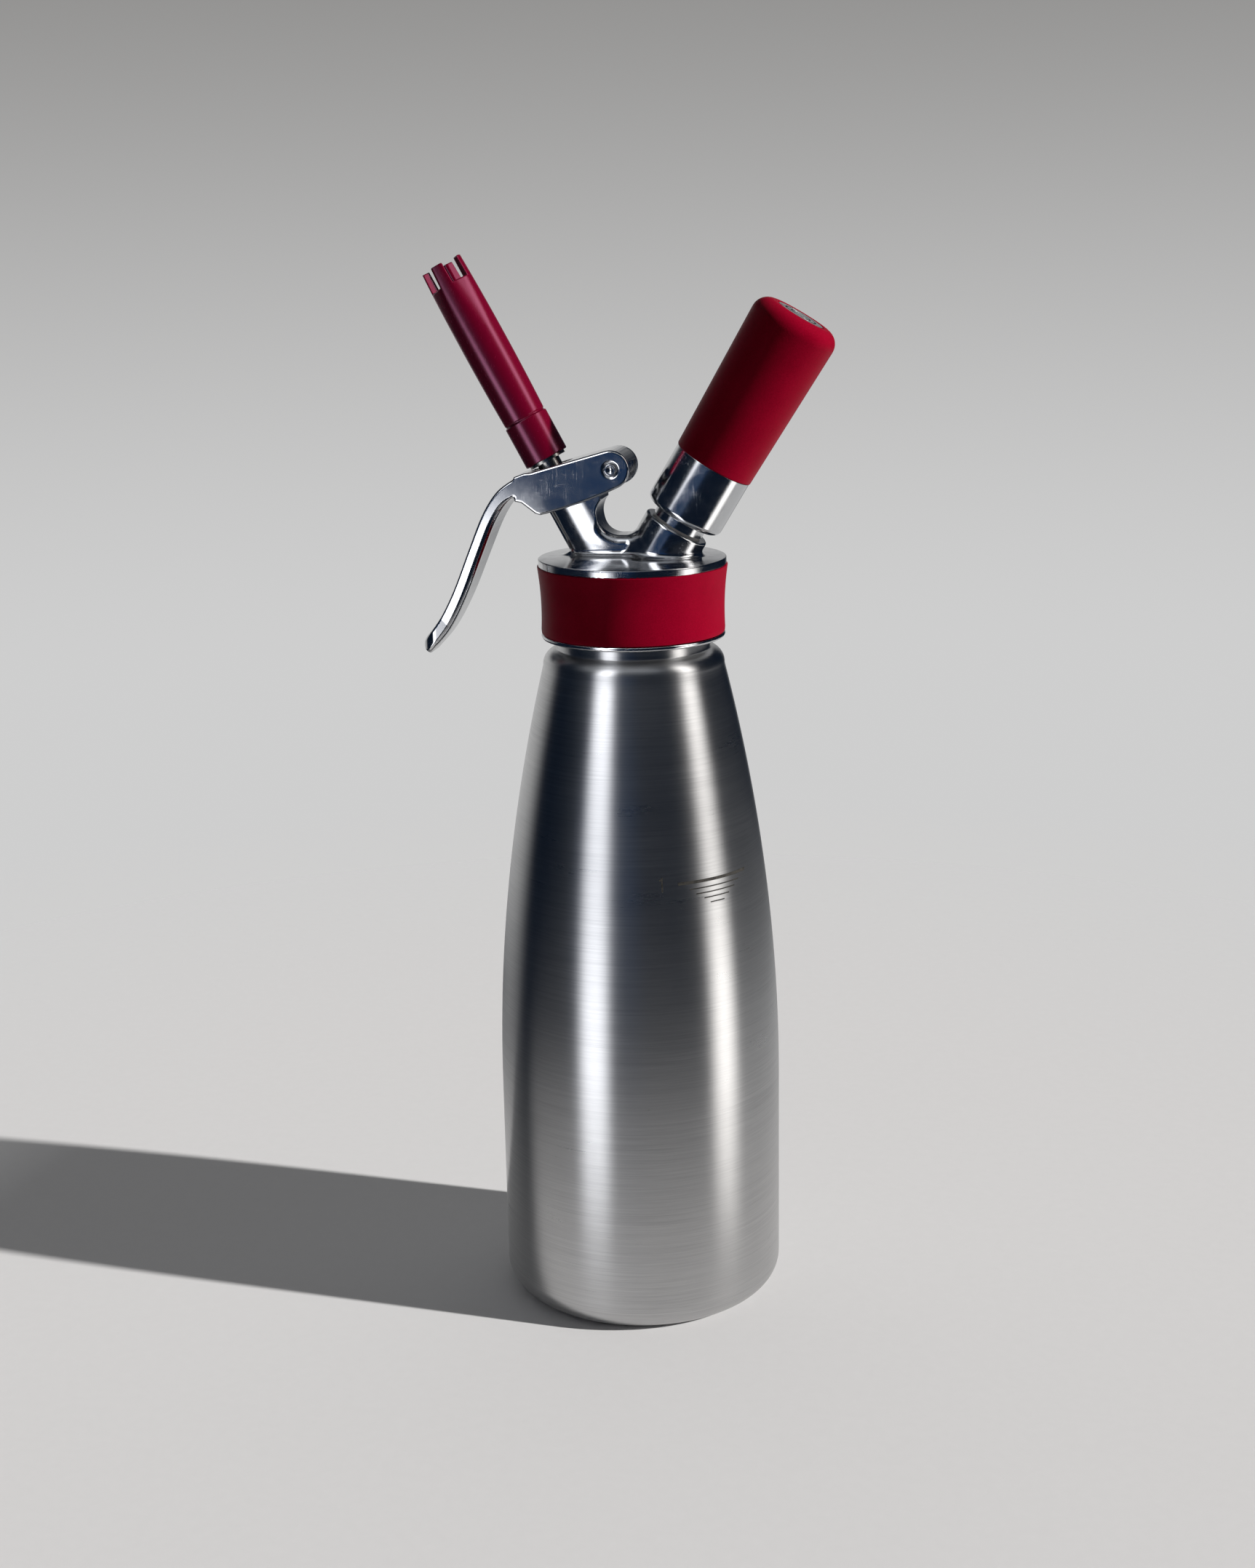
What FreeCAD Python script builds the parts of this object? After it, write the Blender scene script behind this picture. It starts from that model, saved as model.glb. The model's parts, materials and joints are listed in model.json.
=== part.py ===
import FreeCAD
import Part
import math
import os

Vec = FreeCAD.Vector

# A one litre whipped cream dispenser, standing on its base, all sizes in millimetres.
# Z is up. The lever is on the minus X side and the gas charger leans towards plus X.

# Bottle
bottle_r = 47.5
bottle_wall = 0.9
bottle_corner_r = 9.0
base_ring_inset = 7.0
base_ring_half = 2.5
base_ring_h = 0.9
straight_top_z = 75.0
shoulder_z = 218.5
shoulder_r = 29.8
shoulder_turn = 1.4
neck_root_z = 224.0
neck_r = 25.0
neck_bore_r = 23.2
mouth_z = 248.3
mouth_round = 0.5

# Screw threads, cut as round grooves
neck_pitch = 5.0
neck_turns = 3.25
neck_groove_r = 1.6
neck_groove_depth = 0.7
post_pitch = 3.0
post_turns = 2.5
post_groove_r = 1.0
post_groove_depth = 0.6
post_thread_foot = 1.6
adapter_pitch = 2.0
adapter_turns = 3.5
adapter_groove_r = 0.7
adapter_groove_depth = 0.4

# Clearances
running_gap = 0.06
seat_gap = 0.02
loose_gap = 0.3
web_gap = 0.2

# How far a cutting shape reaches past what it cuts
cutter_reach = 40.0

# Head shell and its soft parts
gasket_h = 2.0
gasket_in_r = 21.6
deck_h = 3.3
deck_crown = 0.6
crown_share = 0.72
rim_r = 30.6
rim_h = 2.4
rim_edge = 0.4
skirt_wall = 3.3
skirt_lip_r = 30.1
skirt_lip_h = 1.8
skirt_drop = 22.7
band_waist_r = 29.9
band_top_r = 31.0
band_foot_r = 30.1
band_waist_drop = 3.0

# Dispensing port, leaning towards minus X
port_tilt = 28.2
port_foot_x = -10.5
port_r = 6.8
port_offset = 1.0
port_top = 25.6
port_seat_r = 7.2
port_seat_drop = 9.5
spring_bore_r = 5.2
spring_seat = 11.0
chamber_r = 5.2

# Lever pivot and the arm that carries it
pivot_x = -5.2
pivot_z = 282.5
pin_r = 1.9
pin_proud = 0.1
arm_end_r = 4.1
arm_step = 6.9
arm_root_reach = 5.0
hook_r = 7.0
hook_x = -3.3
hook_z = 268.2
hook_top_r = 6.4
hook_top_x = -2.6
hook_top_z = 270.6
hook_top_share = 0.9

# Lever
lever_slope = 15.8
lever_half_w = 8.8
lever_sheet = 1.8
lever_end_r = 6.2
lever_arm_l = 31.0
lever_throw = 12.0
lever_wrap_to = 23.0
sink_r = 2.9
sink_depth = 0.5
stem_slot_back = 6.0
stem_slot_front = 6.6
handle_half_w = 6.4
handle_t = 4.8
channel_end_l = 3.0
stem_slot_drop = 8.0

# Places on the lever, across and up from the pivot
handle_line = [(-27.8, -3.9), (-32.8, -6.6), (-36.7, -10.0), (-40.8, -16.5), (-45.5, -27.3),
               (-51.4, -41.2), (-57.2, -51.7), (-63.4, -58.9)]
handle_full_x = -28.8
handle_slim_x = -37.8
handle_tip_x = -65.4
handle_tip_run = 5.5
cheek_mid = (-10.7, -11.0)
cheek_low = (-23.2, -14.6)
cheek_back = (-29.4, -10.7)
cheek_heel = (-31.6, -10.3)
cheek_toe = (-24.8, -14.1)

# Valve stem and what moves with it, heights along the port axis
stem_r = 3.8
stem_bore_r = 2.0
stem_flange_r = 6.3
stem_flange_h = 1.5
stem_floor = -6.0
stem_hole_z = -3.0
stem_hole_r = 1.3
ring_r = 3.15
ring_wire_r = 0.68
ring_places = [3.6, 7.6]
seal_r = 6.4
seal_h = 2.4
seal_nut_flats = 10.0
seal_nut_h = 2.6
stem_tail = 0.6

# Valve spring
spring_wire_r = 0.45
spring_r = 4.6
spring_turns = 7.0

# Tip adapter, washer and decorator tip
adapter_gap = 0.3
adapter_flange_r = 6.2
adapter_flange_h = 0.9
adapter_r = 5.0
adapter_thread_l = 10.0
adapter_grip = 7.0
adapter_bore_r = 2.6
tip_washer_h = 1.5
tip_collar_r = 7.35
tip_collar_l = 14.2
tip_groove_r = 6.9
tip_groove_l = 0.8
tip_belly_r = 7.4
tip_top_r = 6.9
tip_top_flat = 6.1
tip_l = 69.5
tip_bore_r = 4.3
tip_mouth_r = 4.6
tip_slot_w = 4.4
tip_slot_l = 7.4
tip_mouth_l = 11.8
tip_bore_rise = 4.0
tip_belly_drop = 8.0
tip_flat_rise = 4.0
tip_flat_edge = 0.4

# Charger boss and post, leaning towards plus X
boss_tilt = 31.0
holder_foot_x = 16.84
holder_foot_z = 266.85
boss_r = 11.0
boss_top = -3.7
boss_round = 1.0
post_washer_h = 0.6
post_washer_r = 8.3
post_r = 8.75
post_top = 12.0
post_spigot_r = 5.0
post_spigot_end = -10.5
post_cup_r = 4.6
post_cup_floor = 2.6
pierce_r = 2.4
pierce_seat = -2.0
pierce_tip = 4.7
pierce_bore_r = 0.5
pierce_recess = 0.2
pierce_cone_r = 1.7
pierce_tip_r = 0.25
pierce_bore_rise = 0.7
gas_bore_r = 1.2
charger_seal_h = 2.3
charger_seal_bore_r = 2.6

# Non-return valve under the deck
check_x = 11.0
check_r = 3.6
check_drop = 6.0
check_sleeve_wall = 1.3
check_sleeve_gap = 0.2
check_screw_l = 2.0
check_screw_r = 4.4
check_screw_h = 1.6
check_slot_w = 0.9
check_slot_h = 0.7

# Charger holder
holder_r = 13.1
holder_round = 2.6
holder_base_l = 19.8
holder_bore_r = 9.15
holder_thread_l = 13.5
holder_tube_r = 11.3
holder_inside_l = 70.3
holder_end_h = 2.0
holder_top = holder_inside_l + holder_end_h
sleeve_low_r = 13.3
sleeve_top_r = 14.5
sleeve_lip_h = 1.3
sleeve_top = holder_top + sleeve_lip_h
sleeve_round = 5.0
disc_r = 8.0
disc_h = 0.8
disc_rings = ((5.6, 5.0), (3.6, 3.0))
disc_ring_depth = 0.25

# Gas charger bulb
bulb_r = 8.9
bulb_foot = 5.0
bulb_end_gap = 0.3
bulb_l = holder_inside_l - bulb_foot - bulb_end_gap
bulb_neck_r = 3.9
bulb_neck_l = 7.0
bulb_shoulder_l = 8.0
bulb_end_r = 7.0
bulb_bulge = (0.62, 0.42)
bulb_cap_r = 2.9
bulb_cap_h = 0.8

# Heights that follow from the sizes above
deck_floor_z = mouth_z + gasket_h
deck_z = deck_floor_z + deck_h
skirt_foot_z = deck_floor_z - skirt_drop
band_top_z = deck_z - rim_h
band_foot_z = skirt_foot_z + skirt_lip_h
skirt_in_r = neck_r + running_gap
skirt_out_r = skirt_in_r + skirt_wall


def turn_about(tilt):
    """Unit vectors across and along an axis that leans in the XZ plane."""
    lean_angle = math.radians(tilt)
    across = (math.cos(lean_angle), -math.sin(lean_angle))
    along = (math.sin(lean_angle), math.cos(lean_angle))
    return across, along


port_across, port_along = turn_about(-port_tilt)
pivot_across = (pivot_x - port_foot_x) * port_across[0] + (pivot_z - deck_z) * port_across[1]
pivot_along = (pivot_x - port_foot_x) * port_along[0] + (pivot_z - deck_z) * port_along[1]
web_under = lever_end_r - lever_sheet


def web_height(across, pressed, above_pivot):
    """Height of a lever web face along the port axis, at a distance across it."""
    slope = math.radians(port_tilt - lever_slope - pressed)
    return pivot_along + above_pivot / math.cos(slope) + math.tan(slope) * (pivot_across - across)


flange_top = web_height(stem_flange_r, 0.0, web_under) - web_gap
stem_travel = flange_top + web_gap - web_height(stem_flange_r, lever_throw, web_under)
flange_foot = flange_top - stem_flange_h
adapter_foot = web_height(-adapter_flange_r, 0.0, lever_end_r) + adapter_gap
tip_foot = adapter_foot + adapter_flange_h
adapter_top = tip_foot + adapter_thread_l
stem_top = adapter_foot + adapter_grip
seal_top = -port_seat_drop
seal_foot = seal_top - seal_h
stem_foot = seal_foot - seal_nut_h - stem_tail
tip_washer_top = adapter_top + tip_washer_h
guide_r = stem_r + running_gap


def point(place):
    """A place (x or radius, z) as a point in the XZ plane."""
    return Vec(place[0], 0, place[1])


def line(a, b):
    return Part.LineSegment(point(a), point(b)).toShape()


def arc(a, middle, b):
    return Part.Arc(point(a), point(middle), point(b)).toShape()


def curve(places):
    """A smooth curve through places in the XZ plane."""
    smooth = Part.BSplineCurve()
    smooth.interpolate([point(place) for place in places])
    return smooth.toShape()


def outline(places):
    """Straight edges through places and back to the first."""
    return [line(a, b) for a, b in zip(places, places[1:] + places[:1])]


def turned(edges):
    """A closed outline of (radius, height) edges turned about Z."""
    return Part.Face(Part.Wire(edges)).revolve(Vec(0, 0, 0), Vec(0, 0, 1), 360)


def slab(edges, half_width):
    """A closed outline in the XZ plane made into a plate centred on Y."""
    plate = Part.Face(Part.Wire(edges)).extrude(Vec(0, 2 * half_width, 0))
    plate.translate(Vec(0, -half_width, 0))
    return plate


def rod(radius, foot, top):
    return Part.makeCylinder(radius, top - foot, Vec(0, 0, foot))


def ring(inner_r, outer_r, foot, top):
    return rod(outer_r, foot, top).cut(rod(inner_r, foot - 1, top + 1))


def cross_rod(radius, place, half_width):
    """A rod along Y through a place in the XZ plane."""
    return Part.makeCylinder(radius, 2 * half_width, Vec(place[0], -half_width, place[1]), Vec(0, 1, 0))


def hexagon(flats, foot, height):
    """A six sided block about Z."""
    corner = flats / math.sqrt(3)
    turns = [math.pi * k / 3 for k in range(7)]
    places = [Vec(corner * math.cos(turn), corner * math.sin(turn), foot) for turn in turns]
    return Part.Face(Part.makePolygon(places)).extrude(Vec(0, 0, height))


def tangent_arcs(start, start_way, end, end_way):
    """Two arcs that join two points of a coil smoothly."""
    chord = end - start
    both = start_way + end_way
    spread = 2 * (1 - start_way.dot(end_way))
    along = chord.dot(both)
    reach = (-along + math.sqrt(along * along + spread * chord.dot(chord))) / spread
    corners = (start + start_way * reach, end - end_way * reach)
    joint = (corners[0] + corners[1]) * 0.5
    edges = []
    for a, corner, b in ((start, corners[0], joint), (joint, corners[1], end)):
        middle = (a + b) * 0.5
        half = (b - a).Length / 2
        quarter_turn = math.acos(min(1.0, half / (corner - a).Length)) / 2
        out = corner - middle
        out.normalize()
        edges.append(Part.Arc(a, middle + out * half * math.tan(quarter_turn), b).toShape())
    return edges


def coil(radius, pitch, turns, foot, wire_r):
    """A round wire wound about Z as one unbroken tube."""
    steps = int(round(turns * 4))
    rise = pitch / (2 * math.pi)
    places = []
    ways = []
    for k in range(steps + 1):
        angle = k * math.pi / 2
        places.append(Vec(radius * math.cos(angle), radius * math.sin(angle), foot + rise * angle))
        way = Vec(-radius * math.sin(angle), radius * math.cos(angle), rise)
        way.normalize()
        ways.append(way)
    edges = []
    for k in range(steps):
        edges += tangent_arcs(places[k], ways[k], places[k + 1], ways[k + 1])
    section = Part.Wire(Part.makeCircle(wire_r, places[0], ways[0]))
    return Part.Wire(edges).makePipeShell([section], True, False)


def thread_groove(radius, depth, groove_r, pitch, turns, foot):
    """The tube that cuts one round thread groove into a rod of a given radius."""
    return coil(radius + groove_r - depth, pitch, turns, foot, groove_r)


def on_port(shape):
    """Stands a piece made about Z on the leaning port axis, zero at the deck."""
    placed = shape.copy()
    placed.rotate(Vec(0, 0, 0), Vec(0, 1, 0), -port_tilt)
    placed.translate(Vec(port_foot_x, 0, deck_z))
    return placed


def on_boss(shape):
    """Stands a piece made about Z on the leaning charger axis, zero at the holder's foot."""
    placed = shape.copy()
    placed.rotate(Vec(0, 0, 0), Vec(0, 1, 0), boss_tilt)
    placed.translate(Vec(holder_foot_x, 0, holder_foot_z))
    return placed


def port_place(across, along):
    """A place on the port axis frame as (x, z)."""
    return (port_foot_x + across * port_across[0] + along * port_along[0],
            deck_z + across * port_across[1] + along * port_along[1])


def save(name, shape):
    if not shape.isValid():
        print("not valid:", name)
    shape.exportStep("parts/" + name + ".step")
    print(name, len(shape.Solids), round(shape.Volume, 1))


def body_curve(inset):
    """The bottle's wall from the straight part to the shoulder, a parabola."""
    places = []
    for k in range(7):
        share = k / 6
        z = straight_top_z + share * (shoulder_z - straight_top_z)
        places.append((bottle_r - inset - (bottle_r - shoulder_r) * share ** 2, z))
    return places


def make_bottle():
    corner = bottle_corner_r
    bevel = math.sqrt(0.5)
    outside = body_curve(0.0)
    inside = body_curve(bottle_wall)
    foot_r = bottle_r - corner
    in_r = corner - bottle_wall
    inner_corner = (bottle_r - bottle_wall, corner)
    inner_foot = (foot_r, bottle_wall)
    neck_root = (neck_r, neck_root_z)
    neck_in = (neck_bore_r, neck_root_z - bottle_wall)
    turn_z = (shoulder_z + neck_root_z) / 2
    turn_out = ((shoulder_r + neck_r) / 2 + shoulder_turn, turn_z + shoulder_turn / 2)
    turn_in = ((shoulder_r + neck_bore_r - bottle_wall) / 2 + shoulder_turn / 2, turn_z - bottle_wall)
    ring_r = foot_r - base_ring_inset
    ring_in = ring_r - base_ring_half
    ring_out = ring_r + base_ring_half
    edges = [line((0, 0), (ring_in, 0)),
             arc((ring_in, 0), (ring_r, base_ring_h), (ring_out, 0)),
             line((ring_out, 0), (foot_r, 0)),
             arc((foot_r, 0), (foot_r + corner * bevel, corner * (1 - bevel)), (bottle_r, corner)),
             line((bottle_r, corner), outside[0]),
             curve(outside),
             arc(outside[-1], turn_out, neck_root),
             line(neck_root, (neck_r, mouth_z - mouth_round)),
             line((neck_r, mouth_z - mouth_round), (neck_r - mouth_round, mouth_z)),
             line((neck_r - mouth_round, mouth_z), (neck_bore_r + mouth_round, mouth_z)),
             line((neck_bore_r + mouth_round, mouth_z), (neck_bore_r, mouth_z - mouth_round)),
             line((neck_bore_r, mouth_z - mouth_round), neck_in),
             arc(neck_in, turn_in, inside[-1]),
             curve(inside[::-1]),
             line(inside[0], inner_corner),
             arc(inner_corner, (foot_r + in_r * bevel, corner - in_r * bevel), inner_foot),
             line(inner_foot, (ring_out, bottle_wall)),
             arc((ring_out, bottle_wall), (ring_r, base_ring_h + bottle_wall), (ring_in, bottle_wall)),
             line((ring_in, bottle_wall), (0, bottle_wall)),
             line((0, bottle_wall), (0, 0))]
    groove_foot = mouth_z - neck_groove_r - neck_turns * neck_pitch - 1.0
    groove = thread_groove(neck_r, neck_groove_depth, neck_groove_r, neck_pitch, neck_turns, groove_foot)
    return turned(edges).cut(groove)


def make_head_gasket():
    return ring(gasket_in_r, neck_r - mouth_round, mouth_z, deck_floor_z)


def make_grip_band():
    middle = (band_top_z + band_foot_z) / 2
    edges = [line((skirt_out_r, band_foot_z), (band_foot_r, band_foot_z)),
             arc((band_foot_r, band_foot_z), (band_waist_r, middle - band_waist_drop),
                 (band_top_r, band_top_z)),
             line((band_top_r, band_top_z), (skirt_out_r, band_top_z)),
             line((skirt_out_r, band_top_z), (skirt_out_r, band_foot_z))]
    return turned(edges)


def make_head_shell():
    """Deck, rim, threaded skirt and its rounded lip."""
    lip_mid = skirt_foot_z + skirt_lip_h / 2
    edges = [curve([(0, deck_z + deck_crown), (rim_r / 2, deck_z + deck_crown * crown_share),
                    (rim_r - rim_edge, deck_z)]),
             line((rim_r - rim_edge, deck_z), (rim_r, deck_z - rim_edge)),
             line((rim_r, deck_z - rim_edge), (rim_r, band_top_z)),
             line((rim_r, band_top_z), (skirt_out_r, band_top_z)),
             line((skirt_out_r, band_top_z), (skirt_out_r, band_foot_z)),
             line((skirt_out_r, band_foot_z), (skirt_lip_r - skirt_lip_h / 2, band_foot_z)),
             arc((skirt_lip_r - skirt_lip_h / 2, band_foot_z), (skirt_lip_r, lip_mid),
                 (skirt_lip_r - skirt_lip_h / 2, skirt_foot_z)),
             line((skirt_lip_r - skirt_lip_h / 2, skirt_foot_z), (skirt_in_r, skirt_foot_z)),
             line((skirt_in_r, skirt_foot_z), (skirt_in_r, deck_floor_z)),
             line((skirt_in_r, deck_floor_z), (0, deck_floor_z)),
             line((0, deck_floor_z), (0, deck_z + deck_crown))]
    return turned(edges)


def make_arm():
    """The plate that rises from the deck as the port and hooks over to the lever pivot."""
    root = deck_floor_z + deck_h / 2
    arm_top = pivot_along + arm_end_r
    hook_floor = hook_z - hook_r
    under_arm = port_place(pivot_across, pivot_along - arm_end_r)
    places = [port_place(-port_offset, -deck_h / 2), (holder_foot_x / 2, root),
              (holder_foot_x / 2, hook_floor), under_arm, port_place(pivot_across, arm_top),
              port_place(arm_step, arm_top), port_place(arm_step, port_top),
              port_place(-port_offset, port_top)]
    plate = slab(outline(places), port_r)
    plate = plate.fuse(cross_rod(arm_end_r, (pivot_x, pivot_z), port_r))
    rounded = rod(port_r, -deck_h / 2, port_top)
    rounded.translate(Vec(-port_offset, 0, 0))
    plate = plate.fuse(on_port(rounded))
    under_root = port_place(arm_step + arm_root_reach, pivot_along - arm_end_r)
    mouth = [(hook_x, hook_floor), (holder_foot_x, hook_floor), (holder_foot_x, under_arm[1]), under_arm,
             under_root, (hook_top_x - hook_top_r * hook_top_share, hook_top_z)]
    cutter = slab(outline(mouth), 2 * port_r)
    cutter = cutter.fuse(cross_rod(hook_r, (hook_x, hook_z), 2 * port_r))
    cutter = cutter.fuse(cross_rod(hook_top_r, (hook_top_x, hook_top_z), 2 * port_r))
    clear_of_pivot = cross_rod(arm_end_r, (pivot_x, pivot_z), 3 * port_r)
    return plate.cut(cutter.cut(clear_of_pivot))


def make_head():
    root = deck_floor_z + deck_h / 2
    head = make_head_shell().fuse(make_arm())
    boss = rod(boss_r, -2 * boss_r, boss_top)
    top_edges = [edge for edge in boss.Edges if edge.BoundBox.ZMin > boss_top - 0.01]
    boss = boss.makeChamfer(boss_round / 2, top_edges)
    above = Part.makeBox(4 * rim_r, 4 * rim_r, 4 * rim_r, Vec(-2 * rim_r, -2 * rim_r, root))
    head = head.fuse(on_boss(boss).common(above))
    seat = rod(port_seat_r, -port_seat_drop, 0)
    below = Part.makeBox(4 * rim_r, 4 * rim_r, 4 * rim_r, Vec(-2 * rim_r, -2 * rim_r, root - 4 * rim_r))
    head = head.fuse(on_port(seat).common(below))
    nipple = rod(check_r, deck_floor_z - check_drop, deck_z - deck_h / 2)
    nipple.translate(Vec(check_x, 0, 0))
    head = head.fuse(nipple)
    head = head.cut(on_port(rod(chamber_r, -port_seat_drop - 1, 0)))
    head = head.cut(on_port(rod(guide_r, -1, spring_seat + 1)))
    head = head.cut(on_port(rod(spring_bore_r, spring_seat, port_top + 1)))
    head = head.cut(on_boss(rod(post_spigot_r + seat_gap, post_spigot_end, boss_top + 1)))
    gas_meet_z = holder_foot_z - (holder_foot_x - check_x) / math.tan(math.radians(boss_tilt))
    gas_bore = rod(gas_bore_r, deck_floor_z - check_drop - 1, gas_meet_z)
    gas_bore.translate(Vec(check_x, 0, 0))
    side_bore = cross_rod(gas_bore_r / 2, (check_x, deck_floor_z - check_drop / 2), check_r + 1)
    head = head.cut(gas_bore).cut(side_bore)
    head = head.cut(on_boss(rod(gas_bore_r, post_spigot_end - gas_bore_r * 2, post_spigot_end + 1)))
    head = head.cut(cross_rod(pin_r + seat_gap, (pivot_x, pivot_z), port_r + 1))
    return head.removeSplitter()


def from_pivot(place):
    return (pivot_x + place[0], pivot_z + place[1])


def round_pivot(radius, angle):
    turn = math.radians(angle)
    return from_pivot((radius * math.cos(turn), radius * math.sin(turn)))


def wrap_edges(under):
    """The web's end, bent round the pivot down to its cut edge."""
    start = 90.0 + lever_slope
    middle = (start + lever_wrap_to) / 2
    outer = [round_pivot(lever_end_r, angle) for angle in (start, middle, lever_wrap_to)]
    inner = [round_pivot(under, angle) for angle in (start, middle, lever_wrap_to)]
    return [arc(*outer), line(outer[2], inner[2]), arc(inner[2], inner[1], inner[0]),
            line(inner[0], outer[0])]


def make_lever():
    """An upside-down channel on the pivot that runs into a solid curved handle."""
    slope = math.radians(lever_slope)
    way = (-math.cos(slope), -math.sin(slope))
    up = (-math.sin(slope), math.cos(slope))
    end_top = from_pivot((up[0] * lever_end_r, up[1] * lever_end_r))
    arm_far = (end_top[0] + way[0] * lever_arm_l, end_top[1] + way[1] * lever_arm_l)
    low_slope = math.atan2(-lever_end_r - cheek_mid[1], -cheek_mid[0])
    end_low = from_pivot((lever_end_r * math.sin(low_slope), -lever_end_r * math.cos(low_slope)))
    nose = from_pivot((lever_end_r, 0.0))
    heel = from_pivot(cheek_heel)
    back = from_pivot(cheek_back)
    toe = from_pivot(cheek_toe)
    low = from_pivot(cheek_low)
    sides = [line(end_top, arm_far), line(arm_far, heel), line(heel, back), line(back, toe), line(toe, low),
             arc(low, from_pivot(cheek_mid), end_low), arc(end_low, nose, end_top)]
    channel = slab(sides, lever_half_w)
    far = lever_arm_l - channel_end_l
    under = lever_end_r - lever_sheet
    hollow = [from_pivot((up[0] * above + way[0] * along, up[1] * above + way[1] * along))
              for above, along in ((under, -cutter_reach), (under, far), (-cutter_reach, far),
                                   (-cutter_reach, -cutter_reach))]
    channel = channel.cut(slab(outline(hollow), lever_half_w - lever_sheet))
    channel = channel.fuse(slab(wrap_edges(under), lever_half_w - lever_sheet / 2))
    slot = Part.makeBox(stem_slot_back + stem_slot_front, 2 * (stem_r + loose_gap), cutter_reach,
                        Vec(-stem_slot_back, -stem_r - loose_gap, flange_top - stem_slot_drop))
    channel = channel.cut(on_port(slot))
    lever = channel.fuse(make_handle())
    for side in (-1, 1):
        sink = Part.makeCone(pin_r, sink_r, sink_depth,
                             Vec(pivot_x, side * (lever_half_w - sink_depth), pivot_z), Vec(0, side, 0))
        lever = lever.cut(sink)
    lever = lever.cut(cross_rod(pin_r + running_gap, (pivot_x, pivot_z), lever_half_w + 1))
    return lever.removeSplitter()


def handle_plan():
    """What the handle covers seen from above: it slims down from the channel and ends round."""
    full_x = pivot_x + handle_full_x
    slim_x = pivot_x + handle_slim_x
    end_x = pivot_x + handle_tip_x
    tip_x = end_x + handle_tip_run
    wide = lever_half_w
    slim = handle_half_w
    edges = [line((0, wide), (full_x, wide)), line((full_x, wide), (slim_x, slim)),
             line((slim_x, slim), (tip_x, slim)), arc((tip_x, slim), (end_x, 0), (tip_x, -slim)),
             line((tip_x, -slim), (slim_x, -slim)), line((slim_x, -slim), (full_x, -wide)),
             line((full_x, -wide), (0, -wide)), line((0, -wide), (0, wide))]
    plan = slab(edges, pivot_z)
    plan.rotate(Vec(0, 0, 0), Vec(1, 0, 0), 90)
    return plan


def make_handle():
    """The curved bar, an even thickness about its centre line."""
    places = [from_pivot(place) for place in handle_line]
    near = []
    far = []
    for k, place in enumerate(places):
        before = places[max(k - 1, 0)]
        after = places[min(k + 1, len(places) - 1)]
        run = (after[0] - before[0], after[1] - before[1])
        size = math.hypot(run[0], run[1])
        side = (-run[1] / size, run[0] / size)
        near.append((place[0] + side[0] * handle_t / 2, place[1] + side[1] * handle_t / 2))
        far.append((place[0] - side[0] * handle_t / 2, place[1] - side[1] * handle_t / 2))
    last = (places[-1][0] - places[-2][0], places[-1][1] - places[-2][1])
    size = math.hypot(last[0], last[1])
    half_t = handle_t / 2
    end = (places[-1][0] + last[0] / size * half_t, places[-1][1] + last[1] / size * half_t)
    edges = [curve(near), arc(near[-1], end, far[-1]), curve(far[::-1]), line(far[0], near[0])]
    return slab(edges, lever_half_w).common(handle_plan())


def make_pivot_pin():
    return cross_rod(pin_r, (pivot_x, pivot_z), lever_half_w + pin_proud)


def make_valve_stem():
    stem = rod(stem_r, stem_foot, stem_top)
    stem = stem.fuse(rod(stem_flange_r, flange_foot, flange_top))
    stem = stem.cut(rod(stem_bore_r, stem_floor, stem_top + 1))
    for way in (Vec(1, 0, 0), Vec(0, 1, 0)):
        middle = Vec(0, 0, stem_hole_z)
        stem = stem.cut(Part.makeCylinder(stem_hole_r, 4 * stem_r, middle - way * 2 * stem_r, way))
    for place in ring_places:
        stem = stem.cut(ring(ring_r - ring_wire_r - seat_gap, stem_r + 1, place - ring_wire_r - seat_gap,
                             place + ring_wire_r + seat_gap))
    return on_port(stem)


def make_valve_rings():
    rings = [Part.makeTorus(ring_r, ring_wire_r, Vec(0, 0, place)) for place in ring_places]
    return on_port(Part.makeCompound(rings))


def make_valve_seal():
    return on_port(ring(stem_r + seat_gap, seal_r, seal_foot, seal_top))


def make_valve_nut():
    nut = hexagon(seal_nut_flats, seal_foot - seal_nut_h, seal_nut_h)
    return on_port(nut.cut(rod(stem_r + seat_gap, seal_foot - seal_nut_h - 1, seal_foot + 1)))


def make_valve_spring():
    foot = spring_seat + spring_wire_r
    pitch = (flange_foot - spring_wire_r - foot) / spring_turns
    return on_port(coil(spring_r, pitch, spring_turns, foot, spring_wire_r))


def make_tip_adapter():
    adapter = rod(adapter_flange_r, adapter_foot, tip_foot)
    adapter = adapter.fuse(rod(adapter_r, adapter_foot, adapter_top))
    adapter = adapter.cut(rod(stem_r + seat_gap, adapter_foot - 1, stem_top + seat_gap))
    adapter = adapter.cut(rod(adapter_bore_r, adapter_foot, adapter_top + 1))
    foot = tip_foot + adapter_groove_r + adapter_groove_depth
    groove = thread_groove(adapter_r, adapter_groove_depth, adapter_groove_r, adapter_pitch,
                           adapter_turns, foot)
    return on_port(adapter.cut(groove))


def make_tip_washer():
    return on_port(ring(adapter_bore_r, adapter_r - loose_gap, adapter_top, tip_washer_top))


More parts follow.
